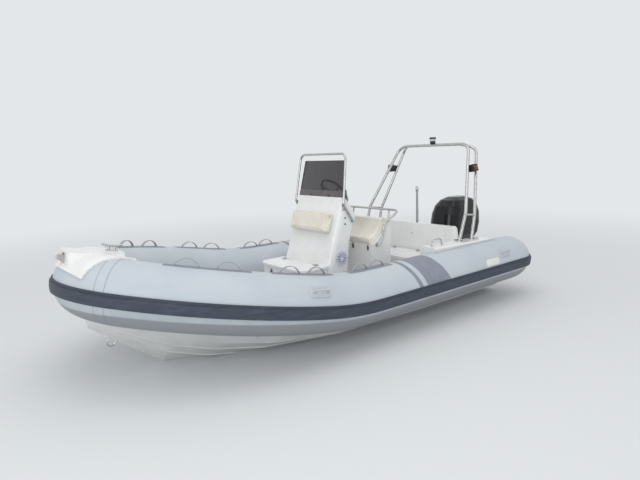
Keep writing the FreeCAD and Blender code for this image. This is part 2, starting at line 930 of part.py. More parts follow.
def steering_wheel():
    centre = dash_point(helm_up_dash, helm_y, wheel_stand)
    rim = Part.makeTorus(wheel_radius, wheel_rim, centre, dash_normal)
    hub_height = hub_drop - seat_gap
    hub_base = centre - dash_normal * hub_height
    hub = Part.makeCone(24, wheel_hub_radius, hub_height - 4, hub_base, dash_normal)
    cap = Part.makeCylinder(wheel_hub_radius, 10, centre - dash_normal * 4, dash_normal)
    spokes = []
    for i in range(3):
        turn = Rotation(dash_normal, 90 + 120 * i)
        out = turn.multVec(Y)
        spokes.append(rod(centre - dash_normal * 12 + out * 20, centre + out * (wheel_radius - 4), 7))
    return joined([hub, cap, rim] + spokes)


def throttle():
    # binnacle with a single lever; the lever is a small control
    low = rounded_wire([(150, throttle_y - 42, 14), (262, throttle_y - 42, 14), (262, throttle_y + 42, 14),
                        (150, throttle_y + 42, 14)], lambda a, b: dash_point(a, b, 5 + 2 * seat_gap))
    top = rounded_wire([(165, throttle_y - 32, 20), (248, throttle_y - 32, 20), (248, throttle_y + 32, 20),
                        (165, throttle_y + 32, 20)], lambda a, b: dash_point(a, b, 62))
    body = loft([low, top])
    pivot = dash_point(206, throttle_y + 30, 40)
    hub = Part.makeCylinder(20, 18, pivot, Y)
    bend = pivot + Y * 14 + Z * 105 - X * 10
    lever = bent_rod([pivot + Y * 12, bend, pivot - Y * 12 + Z * 128 - X * 10], [14], 7)
    knob = Part.makeSphere(17, pivot - Y * 16 + Z * 129 - X * 10)
    return joined([body, hub, lever, knob])


# Step locker

def locker_outline(grow, z, front_grow=0.0):
    # plan with a bowed front: straight aft side, rounded front corners
    half = locker_half + grow
    front = locker_front_x + grow + front_grow
    return rounded_wire([(locker_aft_x - 140, -half, 0), (front, -half, 120 + grow),
                         (front, half, 120 + grow), (locker_aft_x - 140, half, 0)],
                        lambda a, b: Vector(a, b, z))


def step_locker():
    top = locker_top - lid_thick - lid_gap
    low = sole_z + seat_gap
    outer = loft([locker_outline(0, low), locker_outline(-6, top)])
    inner = loft([locker_outline(-locker_wall, low - 60), locker_outline(-6 - locker_wall, top + 60)])
    flange = Part.Face(locker_outline(-6, top - 8)).extrude(Z * 8)
    opening = Part.Face(locker_outline(-60, top - 20)).extrude(Z * 60)
    shell = joined([outer.cut(inner), flange.cut(opening)])
    return shell.cut(console_keepout())


def console_keepout():
    # the console's outside, with the seat gap all round
    wires = [rounded_rect(aft - seat_gap, front + seat_gap, console_half + 60, corner, z)
             for z, front, aft, corner in console_stations]
    return loft(wires)


step_hinge_x = 182.0


def step_lid():
    low = locker_top - lid_thick
    plate = Part.Face(locker_outline(4, low)).extrude(Z * (lid_thick - 6))
    crown = loft([locker_outline(4, locker_top - 6), locker_outline(-4, locker_top)])
    lid = joined([plate, crown])
    lid = lid.cut(box(-600, step_hinge_x, -600, 600, 0, 2000))
    knuckles = hinge_knuckles(step_hinge_x, locker_top, (-step_hinge_y, step_hinge_y), step_hinge_x + 34,
                              hinge_half, (0,))
    return joined([lid] + knuckles)


def step_shelf():
    # fixed strip between the lid and the console, with the hinges' fixed leaves
    low = locker_top - lid_thick
    plate = Part.Face(locker_outline(4, low - lid_gap)).extrude(Z * (lid_thick + lid_gap))
    plate = plate.cut([box(step_hinge_x - 6, 900, -600, 600, 0, 2000), console_keepout()])
    knuckles = hinge_knuckles(step_hinge_x, locker_top, (-step_hinge_y, step_hinge_y), step_hinge_x - 30,
                              hinge_half / 2, (-hinge_side, hinge_side))
    return joined([plate] + knuckles)


# Driver's seat

def seat_curve(offset):
    # concave seating line in XZ: an arc from the front edge up to the back, moved by offset
    a = Vector(seat_front_x, 0, seat_front_z)
    b = Vector(seat_aft_x + 30, 0, seat_back_z)
    chord = b - a
    normal = Vector(chord.z, 0, -chord.x).normalize()
    if normal.z > 0:
        normal = normal * -1
    middle = (a + b) * 0.5 + normal * seat_sag
    arc = Part.Arc(a, middle, b)
    circle = arc.toShape().Curve
    centre, radius = circle.Center, circle.Radius

    def moved(p):
        return centre + (p - centre).normalize() * (radius - offset)

    return moved(a), moved(middle), moved(b)


def seat_prism(low_offset, high_offset, half):
    a, m, b = seat_curve(low_offset)
    c, n, d = seat_curve(high_offset)
    wire = Part.Wire([Part.Arc(a, m, b).toShape(), Part.makeLine(b, d), Part.Arc(d, n, c).toShape(),
                      Part.makeLine(c, a)])
    face = Part.Face(wire)
    face.translate(Y * -half)
    return face.extrude(Y * (2 * half))


def seat_body(wall, offset, half):
    a, m, b = seat_curve(offset)
    low = sole_z + seat_gap - (60 if wall else 0)
    front = a.x - wall
    edges = [Part.Arc(a, m, b).toShape(), Part.makeLine(b, Vector(seat_aft_x + wall, 0, b.z)),
             Part.makeLine(Vector(seat_aft_x + wall, 0, b.z), Vector(seat_aft_x + wall, 0, low)),
             Part.makeLine(Vector(seat_aft_x + wall, 0, low), Vector(front, 0, low)),
             Part.makeLine(Vector(front, 0, low), Vector(front, 0, a.z))]
    if wall:
        edges.append(Part.makeLine(Vector(front, 0, a.z), a))
    face = Part.Face(Part.Wire(edges))
    face.translate(Y * -half)
    return face.extrude(Y * (2 * half))


def seat_box():
    outer = seat_body(0, 0, seat_half)
    inner = box(seat_aft_x + seat_wall + 18, seat_front_x - seat_wall,
                -seat_half + seat_wall, seat_half - seat_wall,
                sole_z - 60, 1400)
    knuckles = hinge_knuckles(seat_hinge_x, seat_back_z, (-seat_hinge_y, seat_hinge_y), seat_aft_x + 1,
                              hinge_half / 2, (-hinge_side, hinge_side))
    return joined([outer.cut(inner)] + knuckles)


def seat_lid():
    lid = seat_prism(lid_gap, lid_gap + seat_lid_thick, seat_half - 4)
    leaf_end = seat_curve(lid_gap)[2].x + 6
    sides = (-seat_hinge_y, seat_hinge_y)
    knuckles = hinge_knuckles(seat_hinge_x, seat_back_z + 1, sides, leaf_end, hinge_half, (0,))
    return joined([lid] + knuckles)


def seat_cushion():
    top = lid_gap + seat_lid_thick
    return seat_prism(top + pad_gap, top + cushion_thick, cushion_half)


def seat_rail():
    y = seat_half + 27
    port = [Vector(-556, y, 790), Vector(-630, y + 4, 868), Vector(-648, y + 4, 1020),
            Vector(-900, y + 4, 1152)]
    points = port + [Vector(p.x, -p.y, p.z) for p in reversed(port)]
    hoop = bent_rod(points, [60, 70, 70, 70, 70, 60], rail_rod)
    feet = []
    for side in (1, -1):
        inner = Vector(-560, side * (seat_half + seat_gap), 794)
        feet.append(rod(inner, Vector(-560, side * y, 794), rail_rod * 0.85))
        feet.append(rod(inner, inner + Y * (side * 5), rail_rod * 1.6))
        stay = Vector(-900, side * 300, 1152)
        foot = Vector(seat_aft_x - seat_gap, side * 300, 960)
        feet.append(bent_rod([stay, Vector(-870, side * 300, 960), foot], [50], rail_rod * 0.85))
        feet.append(rod(foot, foot - X * 5, rail_rod * 1.6))
    return joined([hoop] + feet)


# Stern: bench, side mouldings, backrest wall, well and pole

bench_hinge_x = wall_foot_x + 22


def aft_bench():
    back = wall_foot_x + seat_gap
    half = side_inner_y - seat_gap
    low = sole_z + seat_gap
    outer = box(back, bench_front_x, -half, half, low, bench_top - lid_thick - lid_gap)
    w = bench_wall
    under_lid = bench_top - lid_thick - lid_gap - w
    inner = box(back + w, bench_front_x - w, -half + w, half - w, low - 50, under_lid)
    hatch = box(bench_hinge_x + 30, bench_lid_front_x - 30,
                -bench_lid_half + 30, bench_lid_half - 30, 400, 700)
    top = box(back, bench_front_x + 10, -half, half, bench_top - lid_thick - lid_gap, bench_top)
    well = box(bench_hinge_x - 6, bench_lid_front_x + 4, -bench_lid_half - 4, bench_lid_half + 4,
               bench_top - lid_thick - lid_gap, bench_top + 20)
    shell = outer.cut([inner, hatch])
    knuckles = hinge_knuckles(bench_hinge_x, bench_top, (-bench_hinge_y, bench_hinge_y), bench_hinge_x - 16,
                              hinge_half / 2, (-hinge_side, hinge_side))
    return joined([shell, top.cut(well)] + knuckles)


def bench_lid():
    low = bench_top - lid_thick
    plate = box(bench_hinge_x, bench_lid_front_x, -bench_lid_half, bench_lid_half, low, bench_top)
    knuckles = hinge_knuckles(bench_hinge_x, bench_top, (-bench_hinge_y, bench_hinge_y), bench_hinge_x + 34,
                              hinge_half, (0,))
    return joined([plate] + knuckles)


def side_moulding():
    # coaming that carries the arch's feet, between the cockpit and the tube's crest
    def section(x, top):
        return closed_wire([Vector(x, y, z) for y, z in (
            (side_inner_y, sole_z + seat_gap), (side_inner_y, top - 10), (side_inner_y + 10, top),
            (side_outer_y - 14, top), (side_outer_y, top - 14), (side_outer_y, 600), (800, 300))])
    body = loft([section(side_aft_x, side_top_aft), section(side_front_x, side_top_front)])
    lip = box(side_aft_x - 10, side_front_x + 10, cockpit_half - seat_gap, 1200, 0, hull_lip_z + seat_gap)
    nose = prism_xz([(side_front_x - 60, 2000), (side_front_x + 1, 2000),
                     (side_front_x + 1, side_top_front - 70)], 0, 1500)
    return seated(body.cut([nose, lip]))


def side_mouldings():
    return both_sides(side_moulding())


def backrest_wall():
    # raked wall behind the bench; its upper corners are rounded
    lean = wall_front_x - wall_foot_x

    def place(offset):
        def at(a, b):
            return Vector(wall_foot_x + lean * (b - sole_z) / (wall_top - sole_z) + offset, a, b)
        return at

    over = side_top_front + seat_gap
    corners = [(-side_inner_y + seat_gap, sole_z + seat_gap, 0),
               (side_inner_y - seat_gap, sole_z + seat_gap, 0),
               (side_inner_y - seat_gap, over, 0), (wall_half + 32, over, 0), (wall_half, wall_top, 45),
               (-wall_half, wall_top, 45), (-wall_half - 32, over, 0), (-side_inner_y + seat_gap, over, 0)]
    front = rounded_wire(corners, place(0))
    return Part.Face(front).extrude(X * -wall_thick)


def motor_well():
    back = transom_x + transom_thick + seat_gap
    half = side_inner_y - seat_gap
    tray = box(back, wall_front_x - wall_thick - 4, -half, half, sole_z + seat_gap, well_floor)
    inner = box(back + 30, wall_front_x - wall_thick - 34, -half + 30, half - 30,
                well_floor - 14, well_floor + 50)
    return tray.cut(inner)


def grab_handles():
    handles = []
    for side in (1, -1):
        y = side * 785.0
        front, aft = -1064.0, -1254.0
        a = Vector(front, y, foot_height(front) - 6)
        b = Vector(aft, y, foot_height(aft) - 6)
        handle = bent_rod([a, a + Vector(-21, 0, 74), b + Vector(24, 0, 78), b], [40, 40], 9)
        feet = [rod(p, p + Z * 12, 18) for p in (a, b)]
        handles.append(joined([handle] + feet).cut(below_mouldings()))
    return Part.makeCompound(handles)


def below_mouldings():
    # everything under the side mouldings' sloping top, with the seat gap
    return prism_xz([(side_aft_x, side_top_aft + seat_gap), (side_front_x, side_top_front + seat_gap),
                     (side_front_x, 300), (side_aft_x, 300)], -1200, 1200)


def tow_pole():
    floor = well_floor - 14 + seat_gap
    foot = Part.makeCylinder(52, 10, Vector(pole_x, 0, floor), Z)
    post = tapered_rod(Vector(pole_x, 0, floor), Vector(pole_x, 0, pole_top),
                       pole_radius, pole_radius * 0.72)
    collar = Part.makeCylinder(19, 26, Vector(pole_x, 0, pole_top - 14), Z)
    ring = Part.makeTorus(19, 5.5, Vector(pole_x, 0, pole_top + 32), X)
    return joined([foot, post, collar, ring])


# Arch

# The arch's legs, port side: x, y, z of foot, kink and upper corner
front_leg = [(-1570.0, 790.0, side_top_aft), (-1682.0, 800.0, 1062.0), (-2072.0, 560.0, arch_top_z)]
rear_leg = [(-1822.0, 785.0, side_top_aft), (-1888.0, 782.0, 1010.0), (-2190.0, 592.0, 1822.0)]


def arch():
    port = [Vector(*p) for p in front_leg]
    points = port + [Vector(p.x, -p.y, p.z) for p in reversed(port)]
    hoop = bent_rod(points, [150, 150, 150, 150], arch_rod)
    pieces = [hoop]
    for side in (1, -1):
        def at(x, y, z):
            return Vector(x, side * y, z)
        rear = bent_rod([at(*p) for p in rear_leg] + [at(-2072, 440, arch_top_z - 2)], [150, 90], arch_rod)
        bar = rod(at(-1682, 797, 1045), at(-1890, 781, 1020), arch_rod * 0.6)
        pieces += [rear, bar]
        for x, y in (front_leg[0][:2], rear_leg[0][:2]):
            top = foot_height(x)
            pieces.append(Part.makeCylinder(arch_foot_radius, 12, at(x, y, top - 3), Z))
    return joined(pieces).cut(below_mouldings())


def foot_height(x):
    share = (x - side_aft_x) / (side_front_x - side_aft_x)
    return side_top_aft + (side_top_front - side_top_aft) * share


def masthead_light():
    base = Vector(-2072, 0, arch_top_z + arch_rod + seat_gap)
    parts = [Part.makeCone(24, 30, 24, base, Z), Part.makeCylinder(24, 36, base + Z * 24, Z),
             Part.makeCone(32, 26, 24, base + Z * 60, Z)]
    return joined(parts)


def leg_point(leg, z):
    a, b = Vector(*leg[1]), Vector(*leg[2])
    return a + (b - a) * ((z - a.z) / (b.z - a.z))


def side_light():
    # lamp on a backing plate between the two legs, cut to their round bars
    front = leg_point(front_leg, light_z)
    rear = leg_point(rear_leg, light_z)
    lean = math.degrees(math.atan2(front_leg[1][1] - front_leg[2][1], front_leg[2][2] - front_leg[1][2]))
    half = light_height / 2
    plate = box(rear.x, front.x, -4, 4, -half, half)
    middle = (front.x + rear.x) / 2 + 6
    lamp = box(middle - 50, middle + 46, 4, 62, -half, half)
    both = joined([plate, lamp])
    both.rotate(ORIGIN, X, lean)
    both.translate(Vector(0, front.y, light_z))
    legs = [rod(Vector(*leg[1]), Vector(*leg[2]), arch_rod + seat_gap) for leg in (front_leg, rear_leg)]
    return both.cut(legs)


# Outboard motor

def clamp_bracket():
    port = prism_xz([(transom_x + transom_thick + seat_gap, well_floor + 12),
                     (transom_x + transom_thick + seat_gap, transom_top + seat_gap),
                     (transom_x - seat_gap, transom_top + seat_gap),
                     (transom_x - seat_gap, transom_top - 330),
                     (transom_x - 60, transom_top - 330), (transom_x - 85, transom_top - 40),
                     (tilt_x - 22, tilt_z + 22), (tilt_x + 24, tilt_z + 22), (tilt_x + 60, transom_top - 20),
                     (tilt_x + 55, well_floor + 12)], 105, 133)
    tube = rod(Vector(tilt_x, -150, tilt_z), Vector(tilt_x, 150, tilt_z), tilt_pin)
    web = box(transom_x - 60, transom_x - seat_gap, -106, 106, transom_top - 330, transom_top - 290)
    return joined([port, mirrored(port), tube, web])


def swivel_bracket():
    half = 96.0
    bore = rod(Vector(tilt_x, -200, tilt_z), Vector(tilt_x, 200, tilt_z), tilt_pin + seat_gap)
    arm = prism_xz([(tilt_x + 24, tilt_z - 22), (tilt_x + 24, tilt_z + 18), (tilt_x - 6, tilt_z + 28),
                    (swivel_x + 20, tilt_z + 20), (swivel_x + 20, tilt_z - 330),
                    (swivel_x + 52, tilt_z - 330),
                    (transom_x - 70, tilt_z - 120), (tilt_x - 10, tilt_z - 24)], -half, half)
    post = rod(Vector(swivel_x, 0, tilt_z - 340), Vector(swivel_x, 0, tilt_z + 20), 46)
    bracket = joined([arm, post])
    hole = rod(Vector(swivel_x, 0, -500), Vector(swivel_x, 0, 800), 22)
    clear = prism_xz([(transom_x - 2, 0), (transom_x - 2, transom_top + 8), (tilt_x - 30, transom_top + 8),
                      (400, transom_top + 8), (400, 0)], -400, 400)
    slot = box(transom_x - 66, transom_x + 10, -400, 400, transom_top - 340, transom_top - 284)
    return bracket.cut([bore, hole, clear, slot])


def superellipse(x0, x1, half, z, front, aft):
    # plan of the cowl: rounded rectangle with its own nose and tail radii
    corners = [(x0, -half, aft), (x1, -half, front), (x1, half, front), (x0, half, aft)]
    return rounded_wire(corners, lambda a, b: Vector(a, b, z))


# Cowl sections: z, aft inset, front inset, half width, aft radius, front radius
cowl_sections = [
    (cowl_bottom, 95.0, 75.0, 178.0, 120.0, 120.0),
    (cowl_bottom + 70, 42.0, 28.0, 214.0, 150.0, 150.0),
    (cowl_bottom + 210, 8.0, 0.0, cowl_half, 160.0, 165.0),
    (cowl_bottom + 360, 6.0, 26.0, 219.0, 160.0, 165.0),
    (cowl_bottom + 470, 40.0, 78.0, 196.0, 150.0, 150.0),
    (cowl_bottom + 545, 105.0, 160.0, 152.0, 120.0, 120.0),
    (cowl_top, 210.0, 270.0, 88.0, 70.0, 70.0),
]


def cowl_solid(shrink):
    aft = cowl_front_x - cowl_length
    wires = []
    for z, a, f, half, ra, rf in cowl_sections:
        wires.append(superellipse(aft + a + shrink, cowl_front_x - f - shrink, half - shrink, z,
                                  rf - shrink, ra - shrink))
    return loft(wires)


def cowl():
    return cowl_solid(0).cut(engine_space())


def engine_space():
    return box(swivel_x - 200, swivel_x + 150, -120, 120, cowl_bottom - 50, cowl_bottom + 330)


def engine_block():
    return box(swivel_x - 195, swivel_x + 145, -115, 115, cowl_bottom, cowl_bottom + 325)


def midsection():
    # lower cowling tray, drive-shaft housing and exhaust
    tray = loft([superellipse(swivel_x - 330, swivel_x + 120, 120, tray_z, 70, 90),
                 superellipse(swivel_x - 395, swivel_x + 185, 172, cowl_bottom - seat_gap, 110, 115)])
    leg = loft([superellipse(swivel_x - 255, swivel_x - 52, 78, tray_z + 15, 40, 60),
                superellipse(swivel_x - 215, swivel_x - 54, 62, 120, 36, 50),
                superellipse(swivel_x - 195, swivel_x - 30, 50, -150, 30, 40)])
    head = box(swivel_x - 60, swivel_x + 45, -70, 70, tilt_z + 26, tray_z + 20)
    foot = box(swivel_x - 60, swivel_x + 24, -46, 46, tilt_z - 395, tilt_z - 345)
    king = rod(Vector(swivel_x, 0, tilt_z - 360), Vector(swivel_x, 0, cowl_bottom - 50), 21.7)
    return joined([tray, leg, head, foot, king])


def gearcase():
    strut = loft([superellipse(swivel_x - 200, swivel_x - 20, 44, -150 - seat_gap, 28, 30),
                  superellipse(swivel_x - 190, swivel_x - 20, 34, -240, 20, 22),
                  superellipse(swivel_x - 190, swivel_x - 10, 24, shaft_z + 20, 14, 12)])
    plate = superellipse(swivel_x - 330, swivel_x - 8, 110, -196, 90, 60)
    plate = Part.Face(plate).extrude(Z * 9)
    half = 58.0
    torpedo = [(swivel_x + 52, 0.0), (swivel_x + 20, 34.0), (swivel_x - 60, half), (swivel_x - 180, half),
               (prop_front_x + 3, 48.0), (prop_front_x + 3, 0.0)]
    wire = closed_wire([Vector(x, 0, shaft_z + r) for x, r in torpedo])
    body = Part.Face(wire).revolve(Vector(0, 0, shaft_z), X, 360)
    skeg = prism_xz([(swivel_x - 30, shaft_z), (swivel_x - 95, shaft_z - 170),
                     (swivel_x - 175, shaft_z - 176),
                     (swivel_x - 205, shaft_z)], -7, 7)
    shaft = rod(Vector(prop_front_x + 4, 0, shaft_z),
                Vector(prop_front_x - prop_length - 14, 0, shaft_z), 10)
    return joined([strut, plate, body, skeg, shaft])


def propeller():
    hub = rod(Vector(prop_front_x, 0, shaft_z), Vector(prop_front_x - prop_length, 0, shaft_z), prop_hub)
    bore = rod(Vector(prop_front_x + 5, 0, shaft_z),
               Vector(prop_front_x - prop_length - 5, 0, shaft_z), 10 + seat_gap)
    blades = []
    for i in range(blade_count):
        blade = propeller_blade()
        blade.rotate(ORIGIN, X, 360.0 * i / blade_count)
        blade.translate(Vector(prop_front_x - prop_length / 2, 0, shaft_z))
        blades.append(blade)
    return joined([hub] + blades).cut(bore)


# Blade sections: radius, chord, pitch angle from the disc, thickness
blade_sections = [
    (prop_hub - 8, 96.0, 50.0, blade_thick + 3),
    (95.0, 128.0, 34.0, blade_thick),
    (135.0, 118.0, 26.0, blade_thick - 2),
    (prop_radius, 54.0, 21.0, blade_thick - 4),
]


def propeller_blade():
    wires = []
    for radius, chord, pitch, thick in blade_sections:
        along = Rotation(Z, 90 - pitch).multVec(X)
        normal = Z.cross(along)
        a, b = along * (-chord / 2), along * (chord / 2)
        up = Z * radius
        front = Part.Arc(up + a, up + normal * (thick * 0.8), up + b).toShape()
        back = Part.Arc(up + b, up + normal * (-thick * 0.2 - 1.5), up + a).toShape()
        wires.append(Part.Wire([front, back]))
    return loft(wires)


parts = {
    "hull": hull,
    "sole": sole,
    "foredeck": foredeck,
    "transom": transom,
    "tube_port": lambda: port_tube,
    "tube_starboard": lambda: mirrored(port_tube),
    "tube_bow": lambda: bow_tube(0),
    "rub_strake": rub_strake,
    "grab_patches": grab_patches,
    "grab_loops": grab_loops,
    "carry_handles": carry_handles,
    "bow_eye": bow_eye,
    "bow_moulding": bow_moulding,
    "roller_bracket": roller_bracket,
    "bow_roller": bow_roller,
    "bow_cleat": bow_cleat,
    "console": console,
    "console_vent": console_vent,
    "console_pad": console_pad,
    "windscreen": windscreen,
    "screen_frame": screen_frame,
    "instrument_panel": instrument_panel,
    "steering_base": steering_base,
    "steering_wheel": steering_wheel,
    "throttle": throttle,
    "step_locker": step_locker,
    "step_shelf": step_shelf,
    "step_lid": step_lid,
    "seat_box": seat_box,
    "seat_lid": seat_lid,
    "seat_cushion": seat_cushion,
    "seat_rail": seat_rail,
    "aft_bench": aft_bench,
    "bench_lid": bench_lid,
    "side_mouldings": side_mouldings,
    "backrest_wall": backrest_wall,
    "motor_well": motor_well,
    "grab_handles": grab_handles,
    "tow_pole": tow_pole,
    "arch": arch,
    "masthead_light": masthead_light,
    "light_port": side_light,
    "light_starboard": lambda: mirrored(side_light()),
    "clamp_bracket": clamp_bracket,
    "swivel_bracket": swivel_bracket,
    "midsection": midsection,
    "cowl": cowl,
    "engine_block": engine_block,
    "gearcase": gearcase,
    "propeller": propeller,
}

os.makedirs("parts", exist_ok=True)
for name, make in parts.items():
    shape = make()
    shape.exportStep("parts/" + name + ".step")
    bounds = shape.BoundBox
    print(name, len(shape.Solids), shape.isValid(), round(shape.Volume / 1e6, 2),
          [round(v) for v in (bounds.XMin, bounds.XMax, bounds.YMin, bounds.YMax, bounds.ZMin, bounds.ZMax)])
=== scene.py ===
import math
import bpy
from mathutils import Matrix, Quaternion, Vector


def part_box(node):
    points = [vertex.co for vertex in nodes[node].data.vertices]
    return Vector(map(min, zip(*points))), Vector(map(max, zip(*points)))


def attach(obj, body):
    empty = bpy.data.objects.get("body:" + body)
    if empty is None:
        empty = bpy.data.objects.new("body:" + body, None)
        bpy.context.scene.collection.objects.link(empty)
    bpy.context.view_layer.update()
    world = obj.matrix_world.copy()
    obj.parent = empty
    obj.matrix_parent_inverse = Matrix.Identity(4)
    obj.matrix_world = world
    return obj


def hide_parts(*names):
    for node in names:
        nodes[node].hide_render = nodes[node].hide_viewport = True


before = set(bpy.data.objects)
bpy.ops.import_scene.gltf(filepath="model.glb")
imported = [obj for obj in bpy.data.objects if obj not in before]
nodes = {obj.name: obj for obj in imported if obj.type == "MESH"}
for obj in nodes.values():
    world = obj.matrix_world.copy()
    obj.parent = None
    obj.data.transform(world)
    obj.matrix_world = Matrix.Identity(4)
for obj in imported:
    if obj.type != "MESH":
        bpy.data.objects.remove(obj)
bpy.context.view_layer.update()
print("frame loaded:", len(nodes), "nodes")


# the camera stands off the port bow at eye height, as in the photograph, and rolls with its horizon

camera = {"place": (3.553, 4.487, 1.834), "azimuth": -129.071, "pitch": 9.491, "roll": -2.1, "lens": 29.389,
          "sensor": 36, "farClip": 200}


def addCamera():
    turn, tip, roll = [math.radians(camera[key]) for key in ("azimuth", "pitch", "roll")]
    forward = Vector((math.cos(turn) * math.cos(tip), math.sin(turn) * math.cos(tip), -math.sin(tip)))
    side = Vector((math.sin(turn), -math.cos(turn), 0))
    up = side.cross(forward)
    right = side * math.cos(roll) + up * math.sin(roll)
    top = up * math.cos(roll) - side * math.sin(roll)
    data = bpy.data.cameras.new("camera")
    data.lens = camera["lens"]
    data.sensor_width = camera["sensor"]
    data.clip_end = camera["farClip"]
    eye = bpy.data.objects.new("camera", data)
    bpy.context.scene.collection.objects.link(eye)
    turned = Matrix((right, top, -forward)).transposed().to_4x4()
    eye.matrix_world = Matrix.Translation(Vector(camera["place"])) @ turned
    bpy.context.scene.camera = eye


addCamera()
print("camera set")


# materials, each named for what the real one is

def hexColor(text):
    # sRGB hex to the linear colour that a socket takes
    parts = [int(text[i:i + 2], 16) / 255 for i in (1, 3, 5)]
    return tuple(c / 12.92 if c <= 0.04045 else ((c + 0.055) / 1.055) ** 2.4 for c in parts) + (1.0,)


def addNode(tree, kind, inputs, **settings):
    # a node with its settings, its values and the sockets that feed it
    node = tree.nodes.new("ShaderNode" + kind)
    for name, value in settings.items():
        setattr(node, name, value)
    for key, value in inputs.items():
        if isinstance(value, bpy.types.NodeSocket):
            tree.links.new(value, node.inputs[key])
        else:
            node.inputs[key].default_value = value
    return node.outputs


def startMaterial(name, values):
    material = bpy.data.materials.new(name)
    material.use_nodes = True
    tree = material.node_tree
    shader = tree.nodes["Principled BSDF"].inputs
    for key, value in values.items():
        shader[key].default_value = value
    return material, tree, shader, addNode(tree, "TexCoord", {})["Object"]


# colours: base and the tone its patches turn to; patch, grain: size in mm; height of the grain in mm
plainFinishes = {
    # polished polyester gelcoat: hard, white, very shallow orange peel, dulled a little where it is handled
    "hullGelcoat": {"colors": ("#dcdddc", "#cbccc9"), "patch": 240, "rough": (0.16, 0.34),
                    "grain": 26, "height": 0.12, "values": {"Coat Weight": 0.35, "Coat Roughness": 0.08}},
    "deckGelcoat": {"colors": ("#ededec", "#e2e2e0"), "patch": 200, "rough": (0.18, 0.36),
                    "grain": 24, "height": 0.12, "values": {"Coat Weight": 0.3, "Coat Roughness": 0.1}},
    # polyurethane-coated fabric dyed mid grey, glued on as bands and patches, grained like fine canvas
    "bandFabric": {"colors": ("#868c97", "#949aa4"), "patch": 110, "rough": (0.5, 0.64),
                   "grain": 3.5, "height": 0.12, "values": {"Specular IOR Level": 0.4}},
    # moulded light grey rubber of the grips, smoother than the fabric
    "gripRubber": {"colors": ("#c3c8ce", "#b2b7bd"), "patch": 40, "rough": (0.45, 0.6),
                   "grain": 4, "height": 0.1, "values": {"Specular IOR Level": 0.4}},
    # polished 316 tube and sheet: bright, with water spots about 10 mm across
    "polishedStainless": {"colors": ("#cac9c6", "#b0afad"), "patch": 30, "rough": (0.14, 0.26),
                          "grain": 30, "height": 0.004, "values": {"Metallic": 1.0}},
    # moulded black ABS with a fine spark texture and a little dust
    "texturedAbs": {"colors": ("#1a1b1d", "#303133"), "patch": 60, "rough": (0.42, 0.6),
                    "grain": 2.4, "height": 0.1, "values": {}},
    # black lacquer with fine pearl under clear coat, filmed with dust on its upper side
    "cowlLacquer": {"colors": ("#08090c", "#14171d"), "patch": 90, "rough": (0.2, 0.42),
                    "grain": 30, "height": 0.05,
                    "values": {"Specular IOR Level": 0.2, "Coat Weight": 0.35, "Coat Roughness": 0.08}},
    # baked black enamel on cast aluminium, scuffed grey in places
    "motorEnamel": {"colors": ("#101114", "#2e3034"), "patch": 34, "rough": (0.3, 0.5),
                    "grain": 6, "height": 0.14, "values": {"Coat Weight": 0.4, "Coat Roughness": 0.2}},
    # sand-cast aluminium of the engine under its cowl
    "castAlloy": {"colors": ("#8f9294", "#7b7d7f"), "patch": 30, "rough": (0.45, 0.65),
                  "grain": 4, "height": 0.4, "values": {"Metallic": 1.0}},
    # satin anodised tube of the tow pole, lighter where lines rub it
    "anodisedPole": {"colors": ("#a3a7a9", "#b6b8b9"), "patch": 50, "rough": (0.28, 0.45),
                     "grain": 5, "height": 0.02, "values": {"Metallic": 1.0}},
    # light grey self-skinned foam of the wheel's rim and spokes
    "wheelFoam": {"colors": ("#c4c6c6", "#aeb0b1"), "patch": 30, "rough": (0.4, 0.55),
                  "grain": 2, "height": 0.1, "values": {}},
    # dark bronzed steel of the latches
    "latchSteel": {"colors": ("#6f6a62", "#4f4b46"), "patch": 9, "rough": (0.25, 0.45),
                   "grain": 4, "height": 0.02, "values": {"Metallic": 1.0}},
    # smoked acrylic where it overlaps the white console, seen with what lies behind it
    "screenOverlap": {"colors": ("#5d5759", "#6c6668"), "patch": 60, "rough": (0.08, 0.2),
                      "grain": 30, "height": 0.02, "values": {}},
    # lilac-white moulded louvre of the vent
    "louvreNylon": {"colors": ("#d3d6e2", "#c3c7d6"), "patch": 30, "rough": (0.34, 0.5),
                    "grain": 3, "height": 0.05, "values": {}},
    # off-white moulded nylon
    "mouldedNylon": {"colors": ("#dddbd5", "#c6c3ba"), "patch": 30, "rough": (0.34, 0.5),
                     "grain": 3, "height": 0.05,
                     "values": {"Subsurface Weight": 0.05, "Subsurface Scale": 0.004}},
    # blank white plate: screen-printed vinyl with nothing on it
    "plateVinyl": {"colors": ("#e6e6e2", "#d6d6d0"), "patch": 50, "rough": (0.3, 0.45),
                   "grain": 8, "height": 0.03, "values": {}},
    # gauge faces: black card behind glass
    "gaugeCard": {"colors": ("#101113", "#17181b"), "patch": 20, "rough": (0.2, 0.3),
                  "grain": 5, "height": 0.01, "values": {"Coat Weight": 1.0, "Coat Roughness": 0.02}},
    "gaugeInk": {"colors": ("#d9dad8", "#c9cac8"), "patch": 10, "rough": (0.4, 0.5),
                 "grain": 3, "height": 0.01, "values": {}},
    # cast acrylic lamp lenses: red to port, green to starboard, clear on the masthead
    "redLens": {"colors": ("#a81d18", "#8c1512"), "patch": 12, "rough": (0.08, 0.16),
                "grain": 3, "height": 0.1,
                "values": {"Transmission Weight": 0.35, "IOR": 1.49, "Coat Weight": 0.6}},
    "greenLens": {"colors": ("#12694a", "#0e553b"), "patch": 12, "rough": (0.08, 0.16),
                  "grain": 3, "height": 0.1,
                  "values": {"Transmission Weight": 0.35, "IOR": 1.49, "Coat Weight": 0.6}},
    "clearLens": {"colors": ("#e2e5e6", "#d2d6d8"), "patch": 12, "rough": (0.08, 0.2),
                  "grain": 3, "height": 0.12,
                  "values": {"Transmission Weight": 0.55, "IOR": 1.49, "Coat Weight": 0.5}},
}


